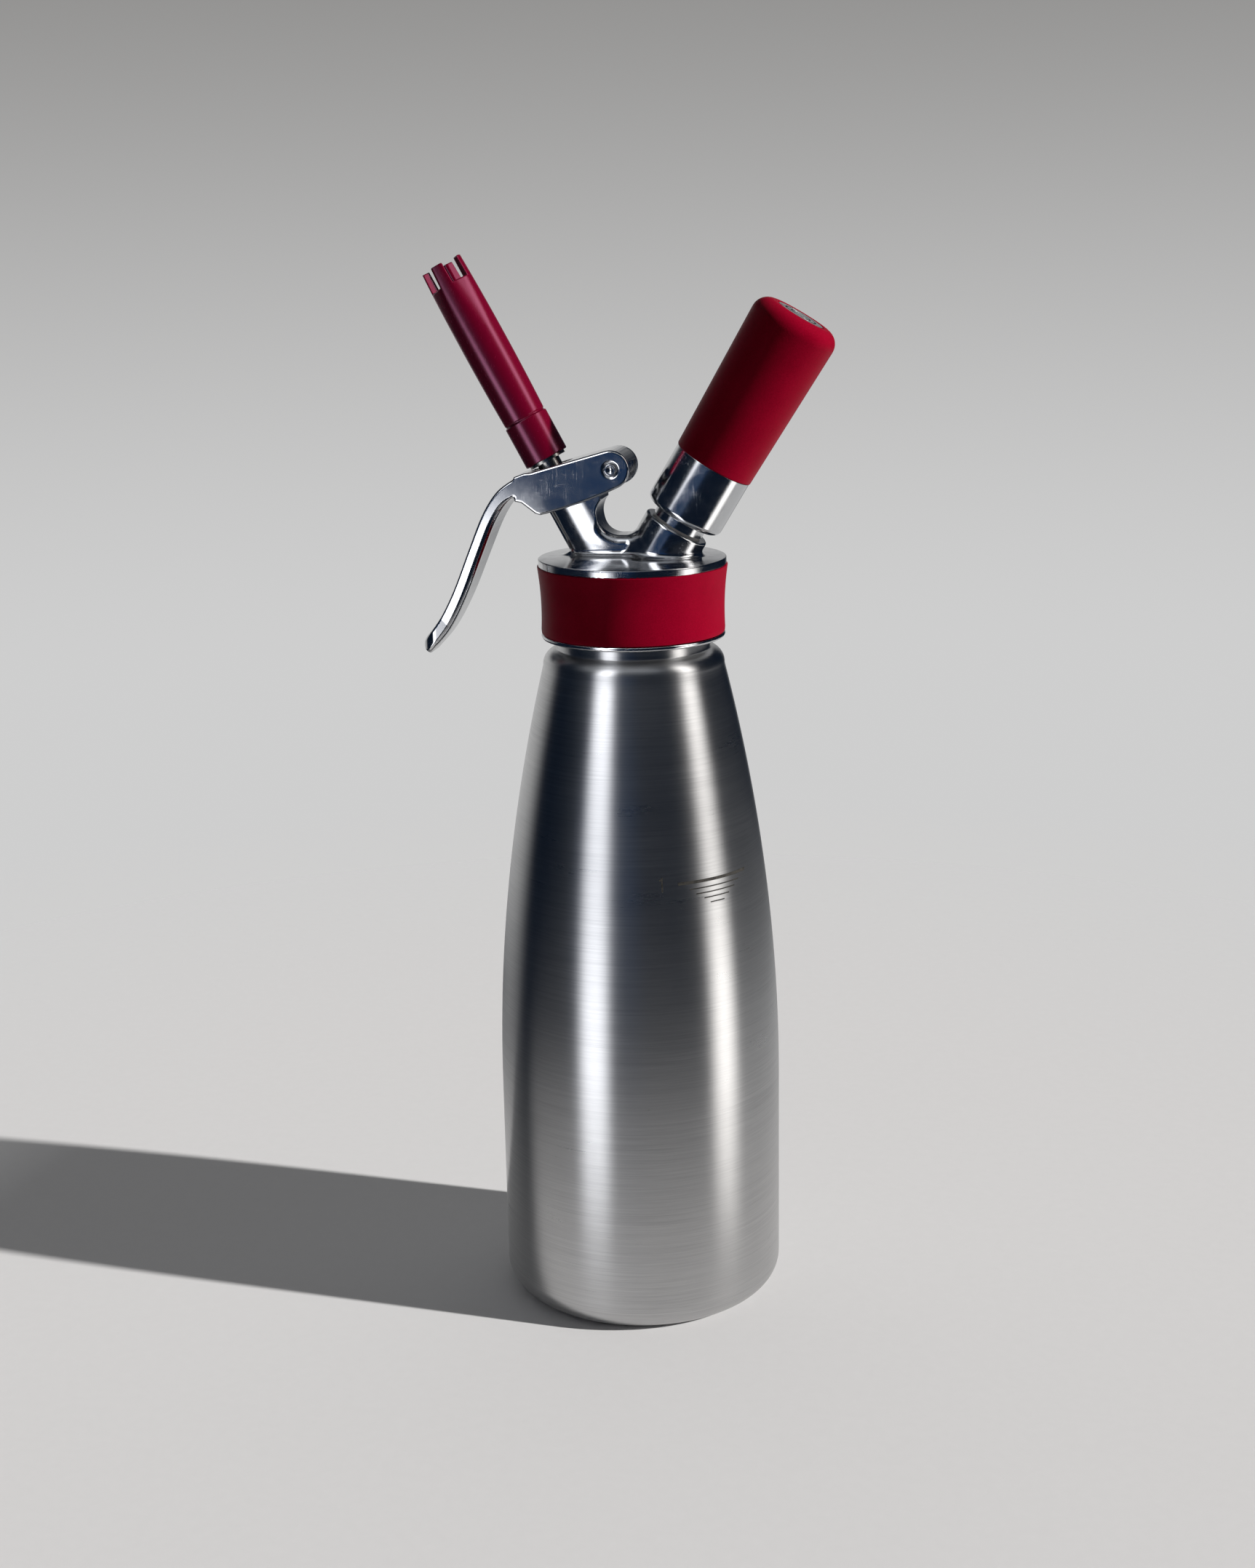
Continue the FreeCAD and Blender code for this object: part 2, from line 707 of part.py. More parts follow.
def make_decorator_tip():
    """Threaded collar, slightly barrelled body, squared top and four prongs."""
    groove_foot = tip_foot + tip_collar_l
    groove_top = groove_foot + tip_groove_l
    top = tip_foot + tip_l
    middle = (groove_top + top) / 2
    socket_r = adapter_r + running_gap
    mouth_foot = top - tip_mouth_l
    bore_foot = groove_top + tip_bore_rise
    edges = [line((socket_r, tip_foot), (tip_collar_r, tip_foot)),
             line((tip_collar_r, tip_foot), (tip_collar_r, groove_foot)),
             line((tip_collar_r, groove_foot), (tip_groove_r, groove_foot)),
             line((tip_groove_r, groove_foot), (tip_groove_r, groove_top)),
             arc((tip_groove_r, groove_top), (tip_belly_r, middle - tip_belly_drop), (tip_top_r, top)),
             line((tip_top_r, top), (tip_mouth_r, top)),
             line((tip_mouth_r, top), (tip_mouth_r, mouth_foot)),
             line((tip_mouth_r, mouth_foot), (tip_bore_r, bore_foot)),
             line((tip_bore_r, bore_foot), (tip_bore_r, tip_washer_top)),
             line((tip_bore_r, tip_washer_top), (socket_r, tip_washer_top)),
             line((socket_r, tip_washer_top), (socket_r, tip_foot))]
    tip = turned(edges)
    flat_foot = middle + tip_flat_rise
    flats = [(tip_top_flat, top), (tip_belly_r + tip_flat_edge, flat_foot),
             (tip_belly_r + cutter_reach, flat_foot), (tip_belly_r + cutter_reach, top)]
    for k in range(4):
        wedge = slab(outline(flats), cutter_reach)
        wedge.rotate(Vec(0, 0, 0), Vec(0, 0, 1), 45 + 90 * k)
        tip = tip.cut(wedge)
    for k in range(2):
        slot = Part.makeBox(2 * cutter_reach, tip_slot_w, cutter_reach,
                            Vec(-cutter_reach, -tip_slot_w / 2, top - tip_slot_l))
        slot.rotate(Vec(0, 0, 0), Vec(0, 0, 1), 45 + 90 * k)
        tip = tip.cut(slot)
    return on_port(tip)


def make_charger_post():
    foot = boss_top + post_washer_h
    post = rod(post_r, foot, post_top).fuse(rod(post_spigot_r, post_spigot_end, foot))
    post = post.cut(rod(post_cup_r, post_cup_floor, post_top + 1))
    post = post.cut(rod(pierce_r + seat_gap, pierce_seat, post_cup_floor + 1))
    post = post.cut(rod(gas_bore_r, post_spigot_end - 1, pierce_seat + 1))
    groove_foot = post_groove_r + post_thread_foot
    groove = thread_groove(post_r, post_groove_depth, post_groove_r, post_pitch, post_turns, groove_foot)
    return on_boss(post.cut(groove))


def make_post_washer():
    return on_boss(ring(post_spigot_r + seat_gap, post_washer_r, boss_top, boss_top + post_washer_h))


def make_piercing_pin():
    shank_top = post_cup_floor - pierce_recess
    pin = rod(pierce_r, pierce_seat, shank_top)
    pin = pin.fuse(Part.makeCone(pierce_cone_r, pierce_tip_r, pierce_tip - shank_top, Vec(0, 0, shank_top)))
    pin = pin.cut(rod(pierce_bore_r, pierce_seat, shank_top + pierce_bore_rise))
    bore = Part.makeCylinder(pierce_bore_r, 2 * pierce_r,
                             Vec(-pierce_r, 0, shank_top + pierce_bore_rise / 2), Vec(1, 0, 0))
    return on_boss(pin.cut(bore))


def make_charger_seal():
    return on_boss(ring(charger_seal_bore_r, post_cup_r - seat_gap, post_cup_floor,
                        post_cup_floor + charger_seal_h))


def make_check_sleeve():
    foot = deck_floor_z - check_drop
    sleeve = ring(check_r + seat_gap, check_r + check_sleeve_wall, foot, deck_floor_z - check_sleeve_gap)
    sleeve.translate(Vec(check_x, 0, 0))
    return sleeve


def make_check_screw():
    foot = deck_floor_z - check_drop
    screw = rod(check_screw_r, foot - check_screw_h, foot)
    screw = screw.fuse(rod(gas_bore_r - seat_gap, foot, foot + check_screw_l))
    screw.translate(Vec(check_x, 0, 0))
    slot = Part.makeBox(2 * check_screw_r, check_slot_w, check_slot_h,
                        Vec(check_x - check_screw_r, -check_slot_w / 2, foot - check_screw_h))
    return screw.cut(slot)


def make_charger_holder():
    soft = holder_round
    bevel = soft * (1 - math.sqrt(0.5))
    edges = [line((post_r + running_gap, 0), (holder_r - soft, 0)),
             arc((holder_r - soft, 0), (holder_r - bevel, bevel), (holder_r, soft)),
             line((holder_r, soft), (holder_r, holder_base_l)),
             line((holder_r, holder_base_l), (holder_tube_r, holder_base_l)),
             line((holder_tube_r, holder_base_l), (holder_tube_r, holder_top)),
             line((holder_tube_r, holder_top), (0, holder_top)),
             line((0, holder_top), (0, holder_inside_l)),
             line((0, holder_inside_l), (holder_bore_r, holder_inside_l)),
             line((holder_bore_r, holder_inside_l), (holder_bore_r, holder_thread_l)),
             line((holder_bore_r, holder_thread_l), (post_r + running_gap, holder_thread_l)),
             line((post_r + running_gap, holder_thread_l), (post_r + running_gap, 0))]
    return on_boss(turned(edges))


def make_holder_sleeve():
    soft = sleeve_round
    bevel = soft * (1 - math.sqrt(0.5))
    edges = [line((holder_tube_r, holder_base_l), (sleeve_low_r, holder_base_l)),
             line((sleeve_low_r, holder_base_l), (sleeve_top_r, sleeve_top - soft)),
             arc((sleeve_top_r, sleeve_top - soft), (sleeve_top_r - bevel, sleeve_top - bevel),
                 (sleeve_top_r - soft, sleeve_top)),
             line((sleeve_top_r - soft, sleeve_top), (disc_r, sleeve_top)),
             line((disc_r, sleeve_top), (disc_r, holder_top)),
             line((disc_r, holder_top), (holder_tube_r, holder_top)),
             line((holder_tube_r, holder_top), (holder_tube_r, holder_base_l))]
    return on_boss(turned(edges))


def make_holder_disc():
    disc = rod(disc_r - seat_gap, holder_top, holder_top + disc_h)
    for outer, inner in disc_rings:
        disc = disc.cut(ring(inner, outer, holder_top + disc_h - disc_ring_depth, holder_top + 2 * disc_h))
    return on_boss(disc)


def make_gas_charger():
    """A steel bulb, neck down, with its seal socket in the neck."""
    neck_top = bulb_foot + bulb_neck_l
    shoulder_top = neck_top + bulb_shoulder_l
    top = bulb_foot + bulb_l
    soft = bulb_end_r
    bevel = soft * (1 - math.sqrt(0.5))
    shoulder_mid = (bulb_neck_r + (bulb_r - bulb_neck_r) * bulb_bulge[0],
                    neck_top + bulb_shoulder_l * bulb_bulge[1])
    edges = [line((0, bulb_foot + bulb_cap_h), (bulb_cap_r, bulb_foot + bulb_cap_h)),
             line((bulb_cap_r, bulb_foot + bulb_cap_h), (bulb_cap_r, bulb_foot)),
             line((bulb_cap_r, bulb_foot), (bulb_neck_r, bulb_foot)),
             line((bulb_neck_r, bulb_foot), (bulb_neck_r, neck_top)),
             arc((bulb_neck_r, neck_top), shoulder_mid, (bulb_r, shoulder_top)),
             line((bulb_r, shoulder_top), (bulb_r, top - soft)),
             arc((bulb_r, top - soft), (bulb_r - bevel, top - bevel), (bulb_r - soft, top)),
             line((bulb_r - soft, top), (0, top)),
             line((0, top), (0, bulb_foot + bulb_cap_h))]
    return on_boss(turned(edges))


def make_bulb_cap():
    return on_boss(rod(bulb_cap_r - seat_gap, bulb_foot, bulb_foot + bulb_cap_h))


os.makedirs("parts", exist_ok=True)
save("bottle", make_bottle())
save("head_gasket", make_head_gasket())
save("head", make_head())
save("grip_band", make_grip_band())
save("lever", make_lever())
save("pivot_pin", make_pivot_pin())
save("valve_stem", make_valve_stem())
save("valve_rings", make_valve_rings())
save("valve_seal", make_valve_seal())
save("valve_nut", make_valve_nut())
save("valve_spring", make_valve_spring())
save("tip_adapter", make_tip_adapter())
save("tip_washer", make_tip_washer())
save("decorator_tip", make_decorator_tip())
save("charger_post", make_charger_post())
save("post_washer", make_post_washer())
save("piercing_pin", make_piercing_pin())
save("charger_seal", make_charger_seal())
save("check_sleeve", make_check_sleeve())
save("check_screw", make_check_screw())
save("charger_holder", make_charger_holder())
save("holder_sleeve", make_holder_sleeve())
save("holder_disc", make_holder_disc())
save("gas_charger", make_gas_charger())
save("bulb_cap", make_bulb_cap())

print("stem travel", round(stem_travel, 4), "mm for", lever_throw, "degrees of lever")
print("ratio in metres per radian", round(stem_travel / 1000 / math.radians(lever_throw), 7))
print("valve axis", round(port_along[0], 6), round(port_along[1], 6))
spring_pitch = (flange_foot - spring_seat - 2 * spring_wire_r) / spring_turns
print("least gap between spring turns", round(spring_pitch - 2 * spring_wire_r, 3))
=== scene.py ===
import json
import math
from itertools import product

import bpy
import numpy as np
from mathutils import Matrix, Vector


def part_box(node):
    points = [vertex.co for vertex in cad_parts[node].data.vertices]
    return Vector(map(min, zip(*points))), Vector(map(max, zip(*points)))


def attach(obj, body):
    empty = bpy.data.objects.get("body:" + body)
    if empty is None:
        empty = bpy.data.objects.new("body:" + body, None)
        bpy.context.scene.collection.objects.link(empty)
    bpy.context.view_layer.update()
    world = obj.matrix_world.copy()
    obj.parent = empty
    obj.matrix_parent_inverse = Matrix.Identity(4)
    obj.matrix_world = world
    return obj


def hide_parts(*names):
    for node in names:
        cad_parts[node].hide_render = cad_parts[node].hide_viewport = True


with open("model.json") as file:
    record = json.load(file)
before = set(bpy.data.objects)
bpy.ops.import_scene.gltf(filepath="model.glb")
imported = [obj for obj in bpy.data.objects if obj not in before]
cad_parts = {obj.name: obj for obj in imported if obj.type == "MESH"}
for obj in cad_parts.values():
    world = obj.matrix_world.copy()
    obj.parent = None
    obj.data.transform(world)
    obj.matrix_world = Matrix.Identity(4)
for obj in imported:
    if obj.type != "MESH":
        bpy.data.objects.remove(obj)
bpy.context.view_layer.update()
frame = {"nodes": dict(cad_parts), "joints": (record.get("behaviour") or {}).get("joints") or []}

# A one litre whipped cream dispenser. Sizes are in millimetres until a mesh is made.
# An outline's corners are (radius, height, fillet), and no fillet marks a point on a smooth curve.
MM = 0.001
HAIR = 0.02
RUNNING_GAP = 0.06
SHARP = 0.1
EASED = 0.3
CAST_STEP = 0.36
LEVER_STEP = CAST_STEP * 0.8
TIP_STEP = CAST_STEP * 0.6
JOINTS = {joint["name"]: joint for joint in frame["joints"]}

# Axes and places read from the frame
PIVOT = np.array(JOINTS["lever_press"]["pos_m"]) / MM
PORT_ALONG = -np.array(JOINTS["valve_press"]["axis"])
BOSS_ALONG = np.array(JOINTS["holder_turn"]["axis"])
DECK_FLOOR_Z = JOINTS["head_turn"]["pos_m"][2] / MM
BOTTLE_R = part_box("bottle")[1][1] / MM
MOUTH_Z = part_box("bottle")[1][2] / MM
SKIRT_FOOT_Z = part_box("head")[0][2] / MM

# Bottle
BOTTLE_WALL = 0.9
CORNER_R = 9.0
BASE_RING_INSET = 7.0
BASE_RING_HALF = 2.5
BASE_RING_H = 0.9
BASE_RING_EASE = 0.6
STRAIGHT_TOP_Z = 75.0
SHOULDER_Z = 218.5
SHOULDER_R = 29.8
SHOULDER_TURN = 1.4
NECK_ROOT_Z = 224.0
NECK_R = 25.0
NECK_BORE_R = 23.2
NECK_PITCH = 5.0
NECK_TURNS = 3.25
NECK_GROOVE_R = 1.6
NECK_GROOVE_DEPTH = 0.7
THREAD_MARGIN = 0.6

# Head
DECK_Z = DECK_FLOOR_Z + 3.3
DECK_CROWN = 1.3
RIM_R = 30.6
RIM_H = 2.4
SKIRT_IN_R = NECK_R + RUNNING_GAP
SKIRT_OUT_R = SKIRT_IN_R + 3.3
LIP_R = 30.1
LIP_H = 1.8
PORT_FOOT_X = -10.5
PORT_R = 6.8
PORT_OFFSET = 1.0
COLUMN_CROWN = 6.0
PORT_TOP = 25.6
ROOT_SINK = 1.6
PORT_SEAT_R = 7.2
PORT_SEAT_DROP = 9.5
SPRING_BORE_R = 5.2
SPRING_SEAT = 11.0
GUIDE_R = 3.86
BORE_FOOT = -20.0
BORE_TOP = 40.0
ARM_END_R = 4.1
ARM_STEP = 6.9
HOOK = (-3.3, 268.2)
HOOK_R = 7.0
HOOK_TOP = (-2.6, 270.6)
HOOK_TOP_R = 6.4
HOOK_TOP_SHARE = 0.9
DECK_FILLET = 2.0
PLATE_EDGE = 0.5
BRIDGE_EDGE = 2.8
BRIDGE_SOFT_TOP = 267.0
BRIDGE_SOFT_H = 5.0
BOSS_R = 11.0
BOSS_TOP = -3.7
BOSS_ROOT = -24.0
HOLDER_FOOT = (16.84, 266.85)
SPIGOT_R = 5.02
SPIGOT_END = -10.5
CHECK_X = 11.0
CHECK_R = 3.6
CHECK_DROP = 6.0

# Band
BAND_TOP_Z = DECK_Z - RIM_H
BAND_FOOT_Z = SKIRT_FOOT_Z + LIP_H
BAND_TOP_R = 31.0
BAND_WAIST_R = 29.9
BAND_WAIST_DROP = 3.0
BAND_FOOT_R = 30.1

# Lever
LEVER_SLOPE = math.radians(15.8)
LEVER_HALF_W = 8.8
LEVER_SHEET = 1.8
LEVER_END_R = 6.2
LEVER_ARM_L = 31.0
LEVER_WRAP_TO = math.radians(23.0)
CHANNEL_END_L = 3.0
SLOT_BACK = -6.0
SLOT_FRONT = 6.6
SLOT_HALF_W = 4.1
SLOT_FOOT = 20.0
LEVER_EDGE = 0.8
GRIP_EDGE = 2.1
GRIP_START_X = -38.0
GRIP_RUN = 4.0
GRIP_DEPTH = 2.0
PIN_R = 1.9
SINK_DEPTH = 0.5
SINK_FLARE = 1.8
SINK_SCALE = 0.6
CHEEK_MID = (-15.9, 271.5)
CHEEK_LOW = (-28.4, 267.9)
CHEEK_TOE = (-30.0, 268.4)
CHEEK_BACK = (-34.6, 271.8)
CHEEK_HEEL = (-36.8, 272.2)
HANDLE_HALF_W = 6.4
HANDLE_T = 4.8
HANDLE_LINE = [(-33.0, 278.6), (-38.0, 275.9), (-41.9, 272.5), (-46.0, 266.0), (-50.7, 255.2),
               (-56.6, 241.3), (-62.4, 230.8), (-68.6, 223.6)]
HANDLE_FULL = 24.0
HANDLE_SLIM = 76.0
HANDLE_TIP_X = -70.6
HANDLE_TIP_RUN = 5.5

# Holder and tip, heights along their leaning axes
HOLDER_R = 13.1
HOLDER_ROUND = 2.6
HOLDER_BASE_L = 19.8
HOLDER_TUBE_R = 11.3
HOLDER_BORE_R = 9.15
HOLDER_INSIDE_L = 70.3
HOLDER_TOP = 72.3
HOLDER_THREAD_L = 13.5
POST_R = 8.75
SLEEVE_LOW_R = 13.3
SLEEVE_TOP_R = 14.5
SLEEVE_TOP = 73.6
SLEEVE_ROUND = 5.0
DISC_R = 8.0
DISC_H = 1.2
DISC_RINGS = [(5.6, 5.0), (3.6, 3.0)]
DISC_RING_DEPTH = 0.25
DISC_BEVEL = 0.15
TIP_COLLAR_R = 7.35
TIP_COLLAR_L = 14.2
TIP_GROOVE_R = 6.9
TIP_GROOVE_L = 0.8
TIP_BELLY_R = 7.4
TIP_BELLY_DROP = 8.0
TIP_FLAT_RISE = 4.0
TIP_TOP_R = 6.9
TIP_TOP_FLAT = 6.1
TIP_L = 69.5
TIP_SOCKET_R = 5.06
TIP_SOCKET_L = 11.5
TIP_BORE_R = 4.3
TIP_SLOT_W = 5.8
TIP_SLOT_L = 6.8


def lean_frame(origin, along):
    """Origin and rotation of a piece whose own Z leans in the XZ plane."""
    across = np.array([along[2], 0.0, -along[0]])
    return np.array(origin, float), np.array([across, [0.0, 1.0, 0.0], along]).T


UPRIGHT = (np.zeros(3), np.eye(3))
PORT_SEAT = lean_frame((PORT_FOOT_X, 0.0, DECK_Z), PORT_ALONG)
BOSS_SEAT = lean_frame((HOLDER_FOOT[0], 0.0, HOLDER_FOOT[1]), BOSS_ALONG)
PIN_SEAT = (PIVOT, np.array([[1.0, 0.0, 0.0], [0.0, 0.0, 1.0], [0.0, -1.0, 0.0]]).T)


def seat_out(seat, points):
    """From a piece's own frame to the row frame."""
    return points @ seat[1].T + seat[0]


def seat_in(seat, points):
    """From the row frame to a piece's own frame."""
    return (points - seat[0]) @ seat[1]


def port_place(across, along):
    """A place on the XZ plane, given across and along the port's axis."""
    place = seat_out(PORT_SEAT, np.array([across, 0.0, along]))
    return place[0], place[2]


def far_from(place, x, z):
    """Distance from a place in the XZ plane, given by its first and last number."""
    return np.hypot(x - place[0], z - place[-1])


def direction(azimuth, rise=0.0):
    """A unit vector at an azimuth and a rise in radians."""
    level = math.cos(rise)
    return Vector((math.cos(azimuth) * level, math.sin(azimuth) * level, math.sin(rise)))


# Round outlines for turned pieces

def rounded(corners, smooth_turn=12.0):
    """A closed outline of corners as dense points with outward normals."""
    flat = [(c[0], c[1]) for c in corners]
    area = sum(a[0] * b[1] - b[0] * a[1] for a, b in zip(flat, flat[1:] + flat[:1]))
    if area < 0:
        corners = corners[::-1]
    points = []
    normals = []
    count = len(corners)
    for k, corner in enumerate(corners):
        here = np.array(corner[:2], float)
        before = np.array(corners[k - 1][:2], float)
        after = np.array(corners[(k + 1) % count][:2], float)
        way_in = (here - before) / np.linalg.norm(here - before)
        way_out = (after - here) / np.linalg.norm(after - here)
        normal_in = np.array([way_in[1], -way_in[0]])
        normal_out = np.array([way_out[1], -way_out[0]])
        turn = math.atan2(way_in[0] * way_out[1] - way_in[1] * way_out[0], float(way_in @ way_out))
        if corner[2] is None or abs(turn) < 1e-4:
            normal = normal_in + normal_out
            points.append(here)
            normals.append(normal / np.linalg.norm(normal))
            continue
        room = 0.49 * min(np.linalg.norm(here - before), np.linalg.norm(after - here))
        reach = min(max(corner[2], 0.04) * math.tan(abs(turn) / 2), room)
        radius = reach / math.tan(abs(turn) / 2)
        side = 1.0 if turn > 0 else -1.0
        centre = here - way_in * reach - normal_in * radius * side
        steps = max(2, int(math.ceil(math.degrees(abs(turn)) / smooth_turn)))
        for step in range(steps + 1):
            angle = turn * step / steps
            spun = np.array([normal_in[0] * math.cos(angle) - normal_in[1] * math.sin(angle),
                             normal_in[0] * math.sin(angle) + normal_in[1] * math.cos(angle)])
            points.append(centre + spun * radius * side)
            normals.append(spun)
    return np.array(points), np.array(normals)


def turned(corners, seat, segments=160, swell=None):
    """Vertices, faces and normals of an outline turned about its own Z axis."""
    points, normals = rounded(corners)
    angles = np.arange(segments) * 2 * math.pi / segments
    vertices = []
    directions = []
    rings = []
    for (radius, height), (out, up) in zip(points, normals):
        if radius < 1e-3:
            rings.append([len(vertices)] * segments)
            vertices.append((0.0, 0.0, height))
            directions.append((0.0, 0.0, math.copysign(1.0, up)))
            continue
        rings.append(list(range(len(vertices), len(vertices) + segments)))
        for angle in angles:
            radius_here = radius if swell is None else swell(radius, height, angle)
            vertices.append((radius_here * math.cos(angle), radius_here * math.sin(angle), height))
            directions.append((out * math.cos(angle), out * math.sin(angle), up))
    faces = []
    for k, ring in enumerate(rings):
        other = rings[(k + 1) % len(rings)]
        if ring[0] == ring[1] and other[0] == other[1]:
            continue
        for m in range(segments):
            n = (m + 1) % segments
            face = [ring[m], ring[n], other[n], other[m]]
            faces.append([v for i, v in enumerate(face) if v != face[i - 1]])
    vertices = seat_out(seat, np.array(vertices))
    directions = np.array(directions) @ seat[1].T
    return vertices, faces, (None if swell else directions)


# Distance fields for the cast and bent pieces, all in millimetres

def join(a, b, fillet=0.0):
    """Union of two fields with a concave fillet."""
    if fillet <= 0.0:
        return np.minimum(a, b)
    near_a = np.maximum(fillet - a, 0.0)
    near_b = np.maximum(fillet - b, 0.0)
    return np.maximum(fillet, np.minimum(a, b)) - np.hypot(near_a, near_b)


def common(a, b, edge=0.0):
    """Intersection of two fields with a rounded convex edge."""
    if np.ndim(edge) == 0 and edge <= 0.0:
        return np.maximum(a, b)
    over_a = np.maximum(a + edge, 0.0)
    over_b = np.maximum(b + edge, 0.0)
    return np.minimum(-edge, np.maximum(a, b)) + np.hypot(over_a, over_b)


def cut(a, b, edge=0.0):
    """One field with another taken away."""
    return common(a, -b, edge)


def polygon(u, v, places):
    """Signed distance to a polygon, negative inside."""
    shape = np.broadcast(u, v).shape
    nearest = np.full(shape, 1e9)
    sign = np.ones(shape)
    count = len(places)
    for k in range(count):
        ax, ay = places[k]
        bx, by = places[k - 1]
        ex, ey = bx - ax, by - ay
        wx, wy = u - ax, v - ay
        share = np.clip((wx * ex + wy * ey) / (ex * ex + ey * ey), 0.0, 1.0)
        dx, dy = wx - ex * share, wy - ey * share
        nearest = np.minimum(nearest, dx * dx + dy * dy)
        above = v >= ay
        below = v < by
        left = ex * wy > ey * wx
        flip = (above & below & left) | (~above & ~below & ~left)
        sign = np.where(flip, -sign, sign)
    return sign * np.sqrt(nearest)


def leaning(seat, x, z):
    """Coordinates across and along a leaning axis."""
    (x0, _, z0), turn = seat
    return [(x - x0) * turn[0, k] + (z - z0) * turn[2, k] for k in (0, 2)]


def rod(across, y, along, radius, foot, top, edge=0.0):
    """A cylinder along a leaning axis."""
    return common(np.hypot(across, y) - radius, np.maximum(foot - along, along - top), edge)


def field_mesh(field, low, high, step, seat=UPRIGHT):
    """Vertices, faces and normals of the surface where a field is zero, found in a seat's own frame."""
    margin = 2.0 * step
    axes = [np.arange(a - margin, b + margin + step, step) for a, b in zip(low, high)]
    value = field(*np.meshgrid(*axes, indexing="ij", sparse=True))
    inside = value < 0.0
    cells = tuple(n - 1 for n in value.shape)
    total = np.zeros(cells, np.int8)
    for shift in product((0, 1), repeat=3):
        total += inside[tuple(slice(s, s + n) for s, n in zip(shift, cells))]
    active = (total > 0) & (total < 8)
    number = np.full(cells, -1, np.int64)
    number[active] = np.arange(int(active.sum()))
    where = np.argwhere(active)
    crossing = np.zeros((len(where), 3))
    weight = np.zeros(len(where))
    for axis in range(3):
        others = [k for k in range(3) if k != axis]
        for shift in product((0, 1), repeat=2):
            start = where.copy()
            start[:, others] += shift
            end = start.copy()
            end[:, axis] += 1
            a = value[tuple(start.T)]
            b = value[tuple(end.T)]
            crosses = (a < 0.0) != (b < 0.0)
            share = np.where(crosses, a / np.where(crosses, a - b, 1.0), 0.0)
            place = start.astype(float)
            place[:, axis] += share
            crossing += place * crosses[:, None]
            weight += crosses
    points = crossing / weight[:, None] * step + np.array([axis[0] for axis in axes])
    faces = []
    for axis in range(3):
        others = [k for k in range(3) if k != axis]
        edge = np.argwhere(np.diff(inside, axis=axis))
        edge = edge[(edge[:, others] > 0).all(axis=1)]
        corners = []
        for shift in ((1, 1), (0, 1), (0, 0), (1, 0)):
            cell = edge.copy()
            cell[:, others] -= shift
            corners.append(number[tuple(cell.T)])
        quads = np.stack(corners, axis=1)
        backward = inside[tuple(edge.T)] == (axis == 1)
        quads[backward] = quads[backward][:, ::-1]
        faces.append(quads)
    faces = np.concatenate(faces)

    def slope(at, reach=0.02):
        rises = [field(*(at + shift).T) - field(*(at - shift).T) for shift in np.eye(3) * reach]
        return np.stack(rises, axis=1) / (2 * reach)

    # The points are evened out between their neighbours and drawn onto the surface, in turns
    sides = np.concatenate([faces[:, [k, (k + 1) % 4]] for k in range(4)])
    neighbours = np.maximum(np.bincount(sides[:, 0], minlength=len(points)), 1)[:, None]
    for _ in range(3):
        middle = [np.bincount(sides[:, 0], points[sides[:, 1], k], len(points)) for k in range(3)]
        points = (points + np.stack(middle, axis=1) / neighbours) / 2
        for _ in range(2):
            steepness = slope(points)
            size = np.maximum((steepness ** 2).sum(axis=1), 0.2)
            move = steepness * (field(*points.T) / size)[:, None]
            points = points - np.clip(move, -step * 0.5, step * 0.5)
    normals = slope(points, step * 0.4)
    normals /= np.maximum(np.linalg.norm(normals, axis=1), 1e-9)[:, None]
    return seat_out(seat, points), faces.tolist(), normals @ seat[1].T


def piece(name, built, material, body, slot, *nodes):
    """Makes a mesh piece in metres that rides on a body and stands for CAD nodes."""
    vertices, faces, normals = built
    mesh = bpy.data.meshes.new(name)
    mesh.from_pydata((np.asarray(vertices) * MM).tolist(), [], faces)
    mesh.validate()
    mesh.update()
    mesh.shade_smooth()
    if normals is not None and len(normals) == len(mesh.vertices):
        mesh.normals_split_custom_set_from_vertices(np.asarray(normals).tolist())
    made = bpy.data.objects.new(name, mesh)
    bpy.context.scene.collection.objects.link(made)
    mesh.materials.append(material)
    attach(made, body)
    if nodes:
        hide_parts(*nodes)
    return made


# Materials

class Graph:
    """A node tree under construction, with short calls."""

    def __init__(self, tree):
        self.tree = tree

    def node(self, kind, **settings):
        made = self.tree.nodes.new(kind)
        for key, value in settings.items():
            setattr(made, key, value)
        return made

    def link(self, output, target):
        self.tree.links.new(output, target)

    def fill(self, target, value):
        """Sets a socket from a number or a colour, or links an output to it."""
        if isinstance(value, (int, float)):
            target.default_value = value
        elif isinstance(value, tuple):
            target.default_value = (*value, 1.0)
        else:
            self.link(value, target)

    def math(self, operation, *values):
        made = self.node("ShaderNodeMath", operation=operation)
        for k, value in enumerate(values):
            self.fill(made.inputs[k], value)
        return made.outputs[0]

    def times(self, result, *factors):
        for factor in factors:
            result = self.math("MULTIPLY", result, factor)
        return result

    def span(self, value, from_low, from_high, to_low=0.0, to_high=1.0, curve="LINEAR"):
        """A value mapped from one range to another and held inside it."""
        mapped = self.node("ShaderNodeMapRange", interpolation_type=curve)
        limits = {"From Min": from_low, "From Max": from_high, "To Min": to_low, "To Max": to_high}
        for key, number in limits.items():
            mapped.inputs[key].default_value = number
        self.link(value, mapped.inputs["Value"])
        return mapped.outputs["Result"]

    def mix(self, share, a, b):
        made = self.node("ShaderNodeMix", data_type="RGBA")
        self.fill(made.inputs["A"], a)
        self.fill(made.inputs["B"], b)
        self.link(share, made.inputs["Factor"])
        return made.outputs["Result"]


